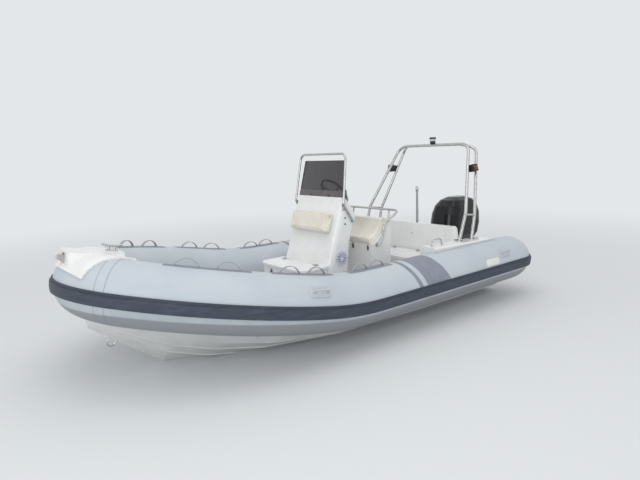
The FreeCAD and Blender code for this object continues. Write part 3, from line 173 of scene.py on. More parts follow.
def plainFinish(name, look):
    # colour and gloss that change together in soft patches, over a fine relief
    material, tree, shader, place = startMaterial(name, look["values"])
    first, second = [hexColor(c) for c in look["colors"]]
    cloud = addNode(tree, "TexNoise", {"Vector": place, "Scale": 1000 / look["patch"], "Detail": 6.0,
                                       "Roughness": 0.62})["Fac"]
    share = addNode(tree, "MapRange", {"Value": cloud, "From Min": 0.42, "From Max": 0.76})["Result"]
    color = addNode(tree, "Mix", {0: share, 6: first, 7: second}, data_type="RGBA")[2]
    low, high = look["rough"]
    rough = addNode(tree, "MapRange", {"Value": share, "To Min": low, "To Max": high})["Result"]
    fine = {"Vector": place, "Scale": 1000 / look["grain"], "Detail": 2.0}
    grain = addNode(tree, "TexNoise", fine)["Fac"]
    bump = {"Height": grain, "Distance": look["height"] / 1000, "Strength": 0.6}
    relief = addNode(tree, "Bump", bump)["Normal"]
    tree.links.new(color, shader["Base Color"])
    tree.links.new(rough, shader["Roughness"])
    tree.links.new(relief, shader["Normal"])
    return material


finishes = {name: plainFinish(name, look) for name, look in plainFinishes.items()}


def tubeFabric():
    # light grey polyurethane-coated fabric, taut and satin: a weave of 1.2 mm drawn at 4 mm so that it
    # shows, dull patches half a metre across, grime down the underside, and a darker doubler lowest
    material, tree, shader, place = startMaterial("coatedTubeFabric", {"Specular IOR Level": 0.42})
    cloud = addNode(tree, "TexNoise", {"Vector": place, "Scale": 2.0, "Detail": 4.0})["Fac"]
    share = addNode(tree, "MapRange", {"Value": cloud, "From Min": 0.35, "From Max": 0.7})["Result"]
    tones = {0: share, 6: hexColor("#bcc4cc"), 7: hexColor("#c5cbd1")}
    clean = addNode(tree, "Mix", tones, data_type="RGBA")[2]
    long = addNode(tree, "Mapping", {"Vector": place, "Scale": (2.0, 8.0, 1.2)})["Vector"]
    run = addNode(tree, "TexNoise", {"Vector": long, "Scale": 3.0, "Detail": 6.0, "Roughness": 0.6})["Fac"]
    normal = addNode(tree, "NewGeometry", {})["Normal"]
    facing = addNode(tree, "SeparateXYZ", {"Vector": normal})["Z"]
    under = addNode(tree, "MapRange", {"Value": facing, "From Min": 0.02, "From Max": -0.75})["Result"]
    spread = {"Value": run, "From Min": 0.3, "From Max": 0.7, "To Min": 0.25, "To Max": 0.8}
    streak = addNode(tree, "MapRange", spread)["Result"]
    grime = addNode(tree, "Math", {0: under, 1: streak}, operation="MULTIPLY")[0]
    stained = addNode(tree, "Mix", {0: grime, 6: clean, 7: hexColor("#9a9d9e")}, data_type="RGBA")[2]
    strip = addNode(tree, "MapRange", {"Value": facing, "From Min": -0.40, "From Max": -0.44})["Result"]
    color = addNode(tree, "Mix", {0: strip, 6: stained, 7: hexColor("#8f9397")}, data_type="RGBA")[2]
    rough = addNode(tree, "MapRange", {"Value": run, "To Min": 0.38, "To Max": 0.56})["Result"]
    weave = addNode(tree, "TexNoise", {"Vector": place, "Scale": 250.0, "Detail": 2.0})["Fac"]
    relief = addNode(tree, "Bump", {"Height": weave, "Distance": 0.0002, "Strength": 0.4})["Normal"]
    tree.links.new(color, shader["Base Color"])
    tree.links.new(rough, shader["Roughness"])
    tree.links.new(relief, shader["Normal"])
    return material


def strakeRubber(name, base, chalked):
    # extruded rubber: dull, chalky where it rubs, with die lines about 8 mm apart along its length
    material, tree, shader, place = startMaterial(name, {"Specular IOR Level": 0.35})
    flat = addNode(tree, "Mapping", {"Vector": place, "Scale": (1.0, 1.0, 5.0)})["Vector"]
    rub = addNode(tree, "TexNoise", {"Vector": flat, "Scale": 7.0, "Detail": 6.0, "Roughness": 0.65})["Fac"]
    share = addNode(tree, "MapRange", {"Value": rub, "From Min": 0.42, "From Max": 0.74})["Result"]
    color = addNode(tree, "Mix", {0: share, 6: hexColor(base), 7: hexColor(chalked)}, data_type="RGBA")[2]
    rough = addNode(tree, "MapRange", {"Value": share, "To Min": 0.52, "To Max": 0.72})["Result"]
    wave = {"Vector": place, "Scale": 40.0, "Distortion": 1.5, "Detail": 2.0}
    lines = addNode(tree, "TexWave", wave, bands_direction="Z")["Fac"]
    relief = addNode(tree, "Bump", {"Height": lines, "Distance": 0.0005, "Strength": 0.35})["Normal"]
    tree.links.new(color, shader["Base Color"])
    tree.links.new(rough, shader["Roughness"])
    tree.links.new(relief, shader["Normal"])
    return material


def strapWebbing():
    # woven polyester strap: ribs across its width every 2 mm, drawn at 5 mm so that they show
    material, tree, shader, place = startMaterial("wovenWebbing", {"Roughness": 0.8, "Sheen Weight": 0.2})
    wave = {"Vector": place, "Scale": 62.0, "Distortion": 0.6}
    ribs = addNode(tree, "TexWave", wave, bands_direction="X")["Fac"]
    tones = {0: ribs, 6: hexColor("#7d828a"), 7: hexColor("#b4b8bd")}
    color = addNode(tree, "Mix", tones, data_type="RGBA")[2]
    relief = addNode(tree, "Bump", {"Height": ribs, "Distance": 0.0008, "Strength": 0.7})["Normal"]
    tree.links.new(color, shader["Base Color"])
    tree.links.new(relief, shader["Normal"])
    return material


def treadGelcoat():
    # deck gelcoat with a moulded diamond non-slip tread of 12 mm pitch, soiled in the hollows
    material, tree, shader, place = startMaterial("treadGelcoat", {"Roughness": 0.58})
    turned = addNode(tree, "Mapping", {"Vector": place, "Rotation": (0, 0, math.radians(45))})["Vector"]
    split = addNode(tree, "SeparateXYZ", {"Vector": turned})
    waves = []
    for axis in ("X", "Y"):
        turns = addNode(tree, "Math", {0: split[axis], 1: 2 * math.pi / 0.012}, operation="MULTIPLY")[0]
        waves.append(addNode(tree, "Math", {0: turns}, operation="SINE")[0])
    studs = addNode(tree, "Math", {0: waves[0], 1: waves[1]}, operation="MULTIPLY")[0]
    soil = addNode(tree, "TexNoise", {"Vector": place, "Scale": 5.5, "Detail": 5.0})["Fac"]
    share = addNode(tree, "MapRange", {"Value": soil, "From Min": 0.4, "From Max": 0.75})["Result"]
    tones = {0: share, 6: hexColor("#cdd0d1"), 7: hexColor("#b9bcbc")}
    color = addNode(tree, "Mix", tones, data_type="RGBA")[2]
    relief = addNode(tree, "Bump", {"Height": studs, "Distance": 0.0012, "Strength": 0.6})["Normal"]
    tree.links.new(color, shader["Base Color"])
    tree.links.new(relief, shader["Normal"])
    return material


def marineVinyl():
    # cream upholstery vinyl: soft sheen over a pebbled grain of about 2.5 mm, warmer in the folds
    values = {"Specular IOR Level": 0.45, "Sheen Weight": 0.08}
    material, tree, shader, place = startMaterial("marineVinyl", values)
    pebble = {"Vector": place, "Scale": 400.0}
    cells = addNode(tree, "TexVoronoi", pebble, feature="DISTANCE_TO_EDGE")["Distance"]
    creases = addNode(tree, "MapRange", {"Value": cells, "From Max": 0.12})["Result"]
    soft = addNode(tree, "TexNoise", {"Vector": place, "Scale": 7.0, "Detail": 4.0})["Fac"]
    share = addNode(tree, "MapRange", {"Value": soft, "From Min": 0.35, "From Max": 0.75})["Result"]
    tones = {0: share, 6: hexColor("#ece7dc"), 7: hexColor("#dfd8c9")}
    color = addNode(tree, "Mix", tones, data_type="RGBA")[2]
    rough = addNode(tree, "MapRange", {"Value": share, "To Min": 0.36, "To Max": 0.5})["Result"]
    relief = addNode(tree, "Bump", {"Height": creases, "Distance": 0.0005, "Strength": 0.35})["Normal"]
    tree.links.new(color, shader["Base Color"])
    tree.links.new(rough, shader["Roughness"])
    tree.links.new(relief, shader["Normal"])
    return material


def smokedAcrylic():
    # dark smoked acrylic sheet, 6 mm: clear, with a faint salt film that dulls it in drifts
    values = {"IOR": 1.49, "Transmission Weight": 1.0}
    material, tree, shader, place = startMaterial("smokedAcrylic", values)
    long = addNode(tree, "Mapping", {"Vector": place, "Scale": (1.0, 2.5, 1.0)})["Vector"]
    drifts = {"Vector": long, "Scale": 11.0, "Detail": 6.0, "Roughness": 0.7}
    film = addNode(tree, "TexNoise", drifts)["Fac"]
    share = addNode(tree, "MapRange", {"Value": film, "From Min": 0.5, "From Max": 0.85})["Result"]
    tones = {0: share, 6: hexColor("#4d494d"), 7: hexColor("#5d585b")}
    color = addNode(tree, "Mix", tones, data_type="RGBA")[2]
    rough = addNode(tree, "MapRange", {"Value": share, "To Min": 0.02, "To Max": 0.14})["Result"]
    tree.links.new(color, shader["Base Color"])
    tree.links.new(rough, shader["Roughness"])
    return material


finishes["tubeFabric"] = tubeFabric()
finishes["strakeBand"] = strakeRubber("strakeRubber", "#3e4450", "#505763")
finishes["strakeTop"] = strakeRubber("strakeCapRubber", "#3a3f4b", "#4c525e")
finishes["webbing"] = strapWebbing()
finishes["tread"] = treadGelcoat()
finishes["vinyl"] = marineVinyl()
finishes["acrylic"] = smokedAcrylic()

finishOf = {
    "tubeFabric": ("tube_port", "tube_starboard", "tube_bow"),
    "strakeBand": ("rub_strake",),
    "bandFabric": ("grab_patches",),
    "gripRubber": ("carry_handles",),
    "webbing": ("grab_loops",),
    "hullGelcoat": ("hull", "transom"),
    "deckGelcoat": ("bow_moulding", "console", "step_locker", "step_shelf", "step_lid", "seat_box",
                    "seat_lid", "aft_bench", "bench_lid", "side_mouldings", "backrest_wall", "motor_well"),
    "tread": ("sole", "foredeck"),
    "vinyl": ("console_pad", "seat_cushion"),
    "acrylic": ("windscreen",),
    "polishedStainless": ("bow_eye", "roller_bracket", "bow_cleat", "screen_frame", "seat_rail",
                          "grab_handles", "arch"),
    "wheelFoam": ("steering_wheel",),
    "mouldedNylon": ("bow_roller",),
    "louvreNylon": ("console_vent",),
    "texturedAbs": ("instrument_panel", "steering_base", "throttle", "masthead_light", "light_port",
                    "light_starboard"),
    "anodisedPole": ("tow_pole",),
    "cowlLacquer": ("cowl",),
    "motorEnamel": ("clamp_bracket", "swivel_bracket", "midsection", "gearcase", "propeller"),
    "castAlloy": ("engine_block",),
}
for finish, names in finishOf.items():
    for name in names:
        nodes[name].data.materials.clear()
        nodes[name].data.materials.append(finishes[finish])
print("finishes:", len(finishes), "on", sum(len(names) for names in finishOf.values()), "nodes")


# modelling steps that several pieces share

def pick(piece, mode="OBJECT"):
    # this piece alone is selected, in object or edit mode
    if bpy.context.object and bpy.context.object.mode != "OBJECT":
        bpy.ops.object.mode_set(mode="OBJECT")
    bpy.ops.object.select_all(action="DESELECT")
    piece.select_set(True)
    bpy.context.view_layer.objects.active = piece
    bpy.ops.object.mode_set(mode=mode)
    if mode == "EDIT":
        bpy.ops.mesh.select_all(action="SELECT")


def copyNode(node, name):
    # a node's skin as a new piece, with its loose triangles merged
    piece = bpy.data.objects.new(name, nodes[node].data.copy())
    bpy.context.scene.collection.objects.link(piece)
    pick(piece)
    if piece.data.has_custom_normals:
        bpy.ops.mesh.customdata_custom_splitnormals_clear()
    pick(piece, "EDIT")
    bpy.ops.mesh.remove_doubles(threshold=0.00005)
    bpy.ops.object.mode_set(mode="OBJECT")
    return piece


def trim(piece, planes, fill=False):
    # each plane is a point and a direction; what lies beyond it goes, and the cut is closed if asked
    pick(piece, "EDIT")
    for point, direction in planes:
        bpy.ops.mesh.select_all(action="SELECT")
        bpy.ops.mesh.bisect(plane_co=point, plane_no=direction, clear_outer=True, use_fill=fill)
    bpy.ops.object.mode_set(mode="OBJECT")


def lift(piece, height):
    pick(piece, "EDIT")
    bpy.ops.transform.shrink_fatten(value=height)
    bpy.ops.object.mode_set(mode="OBJECT")


def together(pieces, name):
    pick(pieces[0])
    for piece in pieces[1:]:
        piece.select_set(True)
    bpy.ops.object.join()
    pieces[0].name = name
    return pieces[0]


def place(piece, finish, slot, body="boat", angle=30):
    # the finished piece: transform applied, smooth where it bends gently, with its finish and body; the
    # slot is not used
    pick(piece)
    bpy.ops.object.transform_apply(location=True, rotation=True, scale=True)
    bpy.ops.object.shade_smooth_by_angle(angle=math.radians(angle))
    piece.data.materials.clear()
    piece.data.materials.append(finishes[finish])
    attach(piece, body)
    return piece


# bands on the tubes: x where each edge crosses the strake, and x where it crosses the crest

stripes = {"thin": {"front": (-0.338, -0.232), "aft": (-0.390, -0.284)},
           "wide": {"front": (-0.456, -0.355), "aft": (-0.828, -0.700)},
           "lowZ": 0.492, "crestZ": 0.723, "lift": 0.0009}


def addStripes():
    rise = stripes["crestZ"] - stripes["lowZ"]
    for node in ("tube_port", "tube_starboard"):
        cut = []
        for band in ("thin", "wide"):
            piece = copyNode(node, "stripe_" + band + node[4:])
            planes = [((0, 0, stripes["lowZ"]), (0, 0, -1))]
            for edge, side in (("front", 1), ("aft", -1)):
                low, crest = stripes[band][edge]
                slope = (crest - low) / rise
                planes.append(((low, 0, stripes["lowZ"]), (side, 0, -side * slope)))
            trim(piece, planes)
            lift(piece, stripes["lift"])
            cut.append(piece)
        place(together(cut, "stripes" + node[4:]), "bandFabric", "patch_rubber")


addStripes()


# a tape round the bow tube ahead of each of its seams, with a thin painted shadow along both edges, where
# the tape's edges throw their shade

seamTape = {"seam": (2.22, 0.408, 0.794), "along": (0.694, -0.707, 0.135), "from": 0.062, "to": 0.148,
            "line": 0.003, "lift": 0.0007}


def addSeamTapes():
    x, y, z = seamTape["seam"]
    for side, name in ((1, "seam_tape_port"), (-1, "seam_tape_starboard")):
        along = Vector((seamTape["along"][0], seamTape["along"][1] * side, seamTape["along"][2]))
        start = Vector((x, y * side, z))
        first, last, line = seamTape["from"], seamTape["to"], seamTape["line"]
        # the two edge lines are painted shadow: grey band fabric laid as the thin shade along each edge of
        # the tape
        for part, low, high, layers, finish in (("", first, last, 1, "tubeFabric"),
                                                ("_shadow_line_aft", first, first + line, 2, "bandFabric"),
                                                ("_shadow_line_fore", last - line, last, 2, "bandFabric")):
            piece = copyNode("tube_bow", name + part)
            trim(piece, [(tuple(start + along * low), tuple(-along)),
                         (tuple(start + along * high), tuple(along))])
            lift(piece, seamTape["lift"] * layers)
            place(piece, finish, "tube_fabric")


addSeamTapes()


# the bow moulding's crown, with a saddle over the tube whose sides run straight

saddle = {"half": 0.362, "crownHalf": 0.354, "front": ((2.523, 0, 0.952), (0.581, 0, -0.814)),
          "aft": ((2.12, 0, 0.98), (-0.6, 0, -0.8)), "lift": 0.0185, "thick": 0.0175, "edge": 0.006}


def addSaddle():
    piece = copyNode("tube_bow", "bow_saddle")
    half = saddle["half"]
    trim(piece, [((0, half, 0), (0, 1, 0)), ((0, -half, 0), (0, -1, 0)), saddle["front"], saddle["aft"]])
    lift(piece, saddle["lift"])
    shell = piece.modifiers.new("shell", "SOLIDIFY")
    shell.thickness = saddle["thick"]
    shell.offset = -1
    bpy.ops.object.modifier_apply(modifier=shell.name)
    edge = piece.modifiers.new("edge", "BEVEL")
    edge.width = saddle["edge"]
    edge.segments = 3
    edge.angle_limit = math.radians(60)
    bpy.ops.object.modifier_apply(modifier=edge.name)
    crown = copyNode("bow_moulding", "bow_crown")
    half = saddle["crownHalf"]
    trim(crown, [((0, half, 0), (0, 1, 0)), ((0, -half, 0), (0, -1, 0)), saddle["front"]], True)
    piece = together([piece, crown], "bow_cover")
    place(piece, "deckGelcoat", "deck_gelcoat")
    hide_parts("bow_moulding")


addSaddle()


# blank plate on each tube near the stern

plate = {"x": (-1.745, -1.485), "z": (0.506, 0.578), "corner": 0.02, "lift": 0.0012}


def addPlates():
    for node, side in (("tube_port", 1), ("tube_starboard", -1)):
        piece = copyNode(node, "blank_plate" + node[4:])
        (x0, x1), (z0, z1) = plate["x"], plate["z"]
        corner = plate["corner"]
        planes = [((x0, 0, 0), (-1, 0, 0)), ((x1, 0, 0), (1, 0, 0)), ((0, 0, z0), (0, 0, -1)),
                  ((0, 0, z1), (0, 0, 1)), ((0, side, 0), (0, -side, 0))]
        for x, sx in ((x0 + corner, -1), (x1 - corner, 1)):
            for z, sz in ((z0, -1), (z1, 1)):
                planes.append(((x, 0, z), (sx, 0, sz)))
        trim(piece, planes)
        lift(piece, plate["lift"])
        place(piece, "plateVinyl", "white_nylon")


addPlates()


# fabric strips that seal the stern mouldings to the tubes: a lifted strip with a thin dark grey line along
# its edge

seal = {"x": (-2.03, -0.86), "edge": 0.984, "line": 0.004, "low": 0.6, "lift": 0.0015}


def addSeals():
    for node, side in (("tube_port", 1), ("tube_starboard", -1)):
        edge = seal["edge"]
        for part, inner, outer, times, finish in (("", 0.0, edge, 1, "tubeFabric"),
                                                  ("_line", edge - seal["line"], edge, 1.5, "bandFabric")):
            piece = copyNode(node, "seal" + part + node[4:])
            trim(piece, [((seal["x"][0], 0, 0), (-1, 0, 0)), ((seal["x"][1], 0, 0), (1, 0, 0)),
                         ((0, 0, seal["low"]), (0, 0, -1)),
                         ((0, side * outer, 0), (0, side, 0)), ((0, side * inner, 0), (0, -side, 0))])
            lift(piece, seal["lift"] * times)
            place(piece, finish, "tube_fabric")


addSeals()
print("bands, tapes, plates and seals laid on the tubes")


# darker cap along the strake's thin upper part

strake = {"seedX": (-1.3, -0.5), "lift": 0.0006}


def addStrakeCap():
    # the upper faces are found from one seed each, and spread as far as the surface bends gently
    pieces = []
    for name, wanted in (("strake_cap_face", "face"), ("strake_cap_edge", "top")):
        piece = copyNode("rub_strake", name)
        faces = [f for f in piece.data.polygons
                 if strake["seedX"][0] < f.center.x < strake["seedX"][1] and f.center.y > 1.0]
        if wanted == "top":
            seeds = [f for f in faces if f.normal.z > 0.8]
        else:
            outer = [f for f in faces if abs(f.normal.y) > 0.8 and f.normal.y > 0]
            seeds = [f for f in outer if f.center.y < max(g.center.y for g in outer) - 0.005]
        seed = max(seeds, key=lambda f: f.center.z)
        for item in (piece.data.polygons, piece.data.edges, piece.data.vertices):
            item.foreach_set("select", [False] * len(item))
        seed.select = True
        bpy.ops.object.mode_set(mode="EDIT")
        bpy.ops.mesh.select_mode(type="FACE")
        bpy.ops.mesh.faces_select_linked_flat(sharpness=math.radians(25))
        bpy.ops.mesh.select_all(action="INVERT")
        bpy.ops.mesh.delete(type="FACE")
        bpy.ops.object.mode_set(mode="OBJECT")
        print(name, len(piece.data.polygons), "faces")
        lift(piece, strake["lift"])
        pieces.append(piece)
    place(together(pieces, "strake_cap"), "strakeTop", "strake_rubber")


addStrakeCap()
print("strake cap added")


# padded pieces: the solid's skin, drawn in a little, remeshed and blown up against its pinned back

consoleCushion = {"node": "console_pad", "name": "console_cushion", "body": "boat",
                  "back": (-0.957, 0, -0.29), "inset": 0.006, "voxel": 0.006, "pressure": 4.0, "cap": 0.009,
                  "fill": 0.85}
seatCushion = {"node": "seat_cushion", "name": "driver_cushion", "body": "seat_top",
               "back": (-0.7, 0, -0.7), "inset": 0.007, "voxel": 0.006, "pressure": 4.0, "cap": 0.012,
               "fill": 0.8}


def addCushion(look):
    piece = copyNode(look["node"], look["name"])
    lift(piece, -look["inset"])
    remesh = piece.modifiers.new("remesh", "REMESH")
    remesh.mode = "VOXEL"
    remesh.voxel_size = look["voxel"]
    bpy.ops.object.modifier_apply(modifier=remesh.name)
    back = Vector(look["back"]).normalized()
    start = [v.co.copy() for v in piece.data.vertices]
    rests = [v.index for v in piece.data.vertices if v.normal.dot(back) > 0.75]
    for i in rests:  # the back returns to the face that it rests on
        piece.data.vertices[i].co += back * (look["inset"] - 0.0005)
        start[i] = piece.data.vertices[i].co.copy()
    pinned = piece.vertex_groups.new(name="back")
    pinned.add(rests, 1.0, "REPLACE")
    cloth = piece.modifiers.new("cloth", "CLOTH")
    cloth.settings.use_pressure = True
    cloth.settings.uniform_pressure_force = look["pressure"]
    cloth.settings.effector_weights.gravity = 0
    cloth.settings.vertex_group_mass = "back"
    cloth.settings.quality = 5
    for step in range(1, 21):
        bpy.context.scene.frame_set(step)
    bpy.ops.object.modifier_apply(modifier=cloth.name)
    bpy.context.scene.frame_set(1)
    piece.vertex_groups.clear()
    for v, rest in zip(piece.data.vertices, start):
        move = v.co - rest
        if move.length > look["cap"]:
            v.co = rest + move * (look["cap"] / move.length)
    smooth = piece.modifiers.new("subdivision", "SUBSURF")
    smooth.levels = smooth.render_levels = 1
    bpy.ops.object.modifier_apply(modifier=smooth.name)
    place(piece, "vinyl", "cushion_vinyl", look["body"], 180)
    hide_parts(look["node"])
    print(look["name"], "padded,", len(piece.data.polygons), "faces")


addCushion(consoleCushion)
addCushion(seatCushion)


# lamps: a lens on each side light, bulged at its ends

sideLens = {"radius": 0.027, "height": 0.046, "bevel": 0.004, "ahead": 0.012, "inside": 0.016,
            "above": 0.004, "rim": 0.006, "bulge": 1.12}


def addSideLens(node, side, finish):
    low, high = [Vector(c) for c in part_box(node)]
    outer = high.y if side > 0 else low.y
    spot = ((low.x + high.x) / 2 + sideLens["ahead"], outer - side * sideLens["inside"],
            (low.z + high.z) / 2 + sideLens["above"])
    bpy.ops.object.select_all(action="DESELECT")
    bpy.ops.mesh.primitive_cylinder_add(vertices=40, radius=sideLens["radius"], depth=sideLens["height"],
                                        location=spot)
    piece = bpy.context.object
    piece.name = "lens" + node[5:]
    pick(piece, "EDIT")
    bpy.ops.mesh.select_mode(type="FACE")
    bpy.ops.mesh.select_all(action="DESELECT")
    bpy.ops.object.mode_set(mode="OBJECT")
    for f in piece.data.polygons:
        f.select = abs(f.normal.z) > 0.9
    bpy.ops.object.mode_set(mode="EDIT")
    bpy.ops.mesh.inset(thickness=sideLens["rim"])
    bpy.ops.transform.resize(value=(1, 1, sideLens["bulge"]), center_override=spot)
    bpy.ops.object.mode_set(mode="OBJECT")
    edge = piece.modifiers.new("edge", "BEVEL")
    edge.width = sideLens["bevel"]
    edge.segments = 3
    bpy.ops.object.modifier_apply(modifier=edge.name)
    place(piece, finish, "white_nylon")


addSideLens("light_port", 1, "redLens")
addSideLens("light_starboard", -1, "greenLens")

# the all-round light: black foot, clear drum and black cap, in shares of its height
masthead = {"foot": (0.0, 0.40, 0.036, "texturedAbs"), "drum": (0.40, 0.74, 0.038, "clearLens"),
            "cap": (0.74, 1.0, 0.043, "texturedAbs"), "bevel": 0.004}


def addMastheadLight():
    low, high = [Vector(c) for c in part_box("masthead_light")]
    for part in ("foot", "drum", "cap"):
        first, last, radius, finish = masthead[part]
        height = (high.z - low.z) * (last - first)
        spot = ((low.x + high.x) / 2, (low.y + high.y) / 2, low.z + (high.z - low.z) * (first + last) / 2)
        bpy.ops.object.select_all(action="DESELECT")
        bpy.ops.mesh.primitive_cylinder_add(vertices=48, radius=radius, depth=height, location=spot)
        piece = bpy.context.object
        piece.name = "masthead_" + part
        edge = piece.modifiers.new("edge", "BEVEL")
        edge.width = masthead["bevel"]
        edge.segments = 3
        bpy.ops.object.modifier_apply(modifier=edge.name)
        place(piece, finish, "white_nylon" if part == "drum" else "black_plastic")
        if part == "foot":
            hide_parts("masthead_light")


addMastheadLight()
print("lamp lenses added")


# small fittings: blocks and discs with rounded edges, from one table each

def addBlock(name, size, spot, bevel, rotation=(0, 0, 0)):
    bpy.ops.object.select_all(action="DESELECT")
    bpy.ops.mesh.primitive_cube_add(size=1, location=spot, rotation=rotation)
    piece = bpy.context.object
    piece.name = name
    piece.scale = size
    bpy.ops.object.transform_apply(location=False, rotation=False, scale=True)
    edge = piece.modifiers.new("edge", "BEVEL")
    edge.width = bevel
    edge.segments = 2
    bpy.ops.object.modifier_apply(modifier=edge.name)
    return piece


def addDisc(name, radius, depth, spot, rotation, bevel):
    bpy.ops.object.select_all(action="DESELECT")
    bpy.ops.mesh.primitive_cylinder_add(vertices=32, radius=radius, depth=depth, location=spot,
                                        rotation=rotation)
    piece = bpy.context.object
    piece.name = name
    edge = piece.modifiers.new("edge", "BEVEL")
    edge.width = bevel
    edge.segments = 2
    bpy.ops.object.modifier_apply(modifier=edge.name)
    return piece


# draw latches: place of each on its box's front, which faces the bow; sizes of what they are made of
latches = {"places": {"step_latch": (0.4805, -0.150, 0.592), "seat_latch_port": (-0.4845, 0.360, 0.772),
                      "seat_latch_middle": (-0.4845, 0.117, 0.772)},
           "plate": (0.003, 0.024, 0.042), "lever": (0.007, 0.015, 0.040), "tongue": (0.004, 0.010, 0.026),
           "leverLean": 6, "pinRadius": 0.0042, "pinLength": 0.022}


def addLatches():
    lean = (0, math.radians(latches["leverLean"]), 0)
    for name, (x, y, z) in latches["places"].items():
        backPlate = addBlock(name + "_plate", latches["plate"], (x + 0.0015, y, z - 0.012), 0.001)
        lever = addBlock(name + "_lever", latches["lever"], (x + 0.0065, y, z - 0.016), 0.0028, lean)
        tongue = addBlock(name + "_tongue", latches["tongue"], (x + 0.005, y, z + 0.014), 0.0012)
        bpy.ops.mesh.primitive_cylinder_add(vertices=20, radius=latches["pinRadius"],
                                            depth=latches["pinLength"], location=(x + 0.006, y, z + 0.003),
                                            rotation=(math.radians(90), 0, 0))
        pin = bpy.context.object
        place(together([backPlate, lever, tongue, pin], name), "latchSteel", "stainless")


addLatches()


# butt hinges: centre of each leaf on its lid, and the lid's body; the leaf with its three screws
hinges = {"places": {"step_hinge_port": ((0.212, 0.280, 0.6755), "step_cover"),
                     "step_hinge_starboard": ((0.212, -0.280, 0.6755), "step_cover"),
                     "bench_hinge_port": ((-1.512, 0.200, 0.5705), "bench_cover"),
                     "bench_hinge_starboard": ((-1.512, -0.200, 0.5705), "bench_cover")},
          "leaf": (0.044, 0.058, 0.0022), "screw": (0.0042, 0.0016),
          "screws": ((0.008, 0.018), (0.008, -0.018), (-0.012, 0.0))}


def addHinges():
    radius, depth = hinges["screw"]
    for name, ((x, y, z), body) in hinges["places"].items():
        parts = [addBlock(name + "_leaf", hinges["leaf"], (x, y, z + 0.0013), 0.0008)]
        for dx, dy in hinges["screws"]:
            spot = (x + dx, y + dy, z + 0.003)
            parts.append(addDisc(name + "_screw", radius, depth, spot, (0, 0, 0), 0.0005))
        place(together(parts, name), "polishedStainless", "stainless", body)


addHinges()


# what is screwed to the console, its cushion, the screen and the aft wall: radius, depth, place, turn
studs = {"console_stud_upper": (0.009, 0.006, (-0.116, 0.4025, 1.143), (90, 0, 0), "texturedAbs"),
         "console_stud_lower": (0.009, 0.006, (-0.114, 0.4025, 1.079), (90, 0, 0), "texturedAbs"),
         "console_boss": (0.013, 0.010, (-0.094, 0.4045, 1.236), (90, 0, 0), "polishedStainless"),
         "wall_stud": (0.011, 0.006, (-1.5675, 0.059, 0.773), (0, 86, 0), "polishedStainless"),
         "screen_stud_port": (0.008, 0.005, (-0.1005, 0.162, 1.371), (0, 78, 0), "texturedAbs"),
         "screen_stud_starboard": (0.008, 0.005, (-0.1005, -0.140, 1.374), (0, 78, 0), "texturedAbs"),
         "pad_stud_upper": (0.007, 0.006, (0.022, 0.3195, 1.165), (90, 0, 0), "polishedStainless"),
         "pad_stud_lower": (0.007, 0.006, (0.076, 0.3195, 0.999), (90, 0, 0), "polishedStainless")}


def addStuds():
    for name, (radius, depth, spot, turn, finish) in studs.items():
        piece = addDisc(name, radius, depth, spot, tuple(math.radians(a) for a in turn), 0.0015)
        place(piece, finish, "black_plastic" if finish == "texturedAbs" else "stainless")


addStuds()


# painted shade: a dark disc behind the vent's slots, standing in for the shaded inside of the console
ventShade = {"radius": 0.078, "depth": 0.001, "spot": (-0.052, 0.4012, 0.715), "turn": (math.radians(90), 0, 0)}
ventShadeDisc = addDisc("vent_shade_disc", ventShade["radius"], ventShade["depth"], ventShade["spot"], ventShade["turn"], 0.0002)
place(ventShadeDisc, "texturedAbs", "black_plastic")


# where the screen overlaps the console: its lowest part, seen with white behind it
overlap = {"top": 1.402, "lift": 0.0008}


def addScreenOverlap():
    piece = copyNode("windscreen", "screen_overlap")
    trim(piece, [((0, 0, overlap["top"]), (0.2, 0, 0.98))])
    lift(piece, overlap["lift"])
    place(piece, "screenOverlap", "smoked_screen")


addScreenOverlap()


# piping along the console cushion's front border
piping = {"centre": (0.085, 0.0, 1.104), "height": 0.214, "width": 0.606, "corner": 0.034, "radius": 0.0032,
          "tilt": 72.0}


def addPiping():
    bpy.ops.object.select_all(action="DESELECT")
    bpy.ops.mesh.primitive_plane_add(size=1, location=piping["centre"],
                                     rotation=(0, math.radians(piping["tilt"]), 0))
    piece = bpy.context.object
    piece.name = "cushion_piping"
    piece.scale = (piping["height"], piping["width"], 1)
    bpy.ops.object.transform_apply(location=True, rotation=True, scale=True)
    pick(piece, "EDIT")
    bpy.ops.mesh.bevel(offset=piping["corner"], segments=6, affect="VERTICES")
    bpy.ops.mesh.delete(type="ONLY_FACE")
    bpy.ops.mesh.select_all(action="SELECT")
    bpy.ops.mesh.subdivide(number_cuts=3)
    bpy.ops.object.mode_set(mode="OBJECT")
    wrap = piece.modifiers.new("wrap", "SHRINKWRAP")
    wrap.target = bpy.data.objects["console_cushion"]
    wrap.wrap_method = "NEAREST_SURFACEPOINT"
    bpy.ops.object.modifier_apply(modifier=wrap.name)
    bpy.ops.object.convert(target="CURVE")
    piece = bpy.context.object
    piece.data.bevel_depth = piping["radius"]
    piece.data.bevel_resolution = 3
    bpy.ops.object.convert(target="MESH")
    piece = bpy.context.object
    place(piece, "vinyl", "cushion_vinyl", "boat", 60)


addPiping()
print("fittings added")


# the dash's gauges: a bright bezel, a black face, and a scale with its pointer, without figures
gauges = {"low": (-0.299, 0, 1.120), "run": (0.588, 0, 0.809), "normal": (-0.809, 0, 0.588), "up": 0.205,
          "out": 0.0152, "across": {"port": 0.16, "middle": -0.18, "starboard": -0.27}, "radius": 0.036,
          "bezel": 0.003, "ticks": 11, "scale": (-30, 210), "pointer": 205}


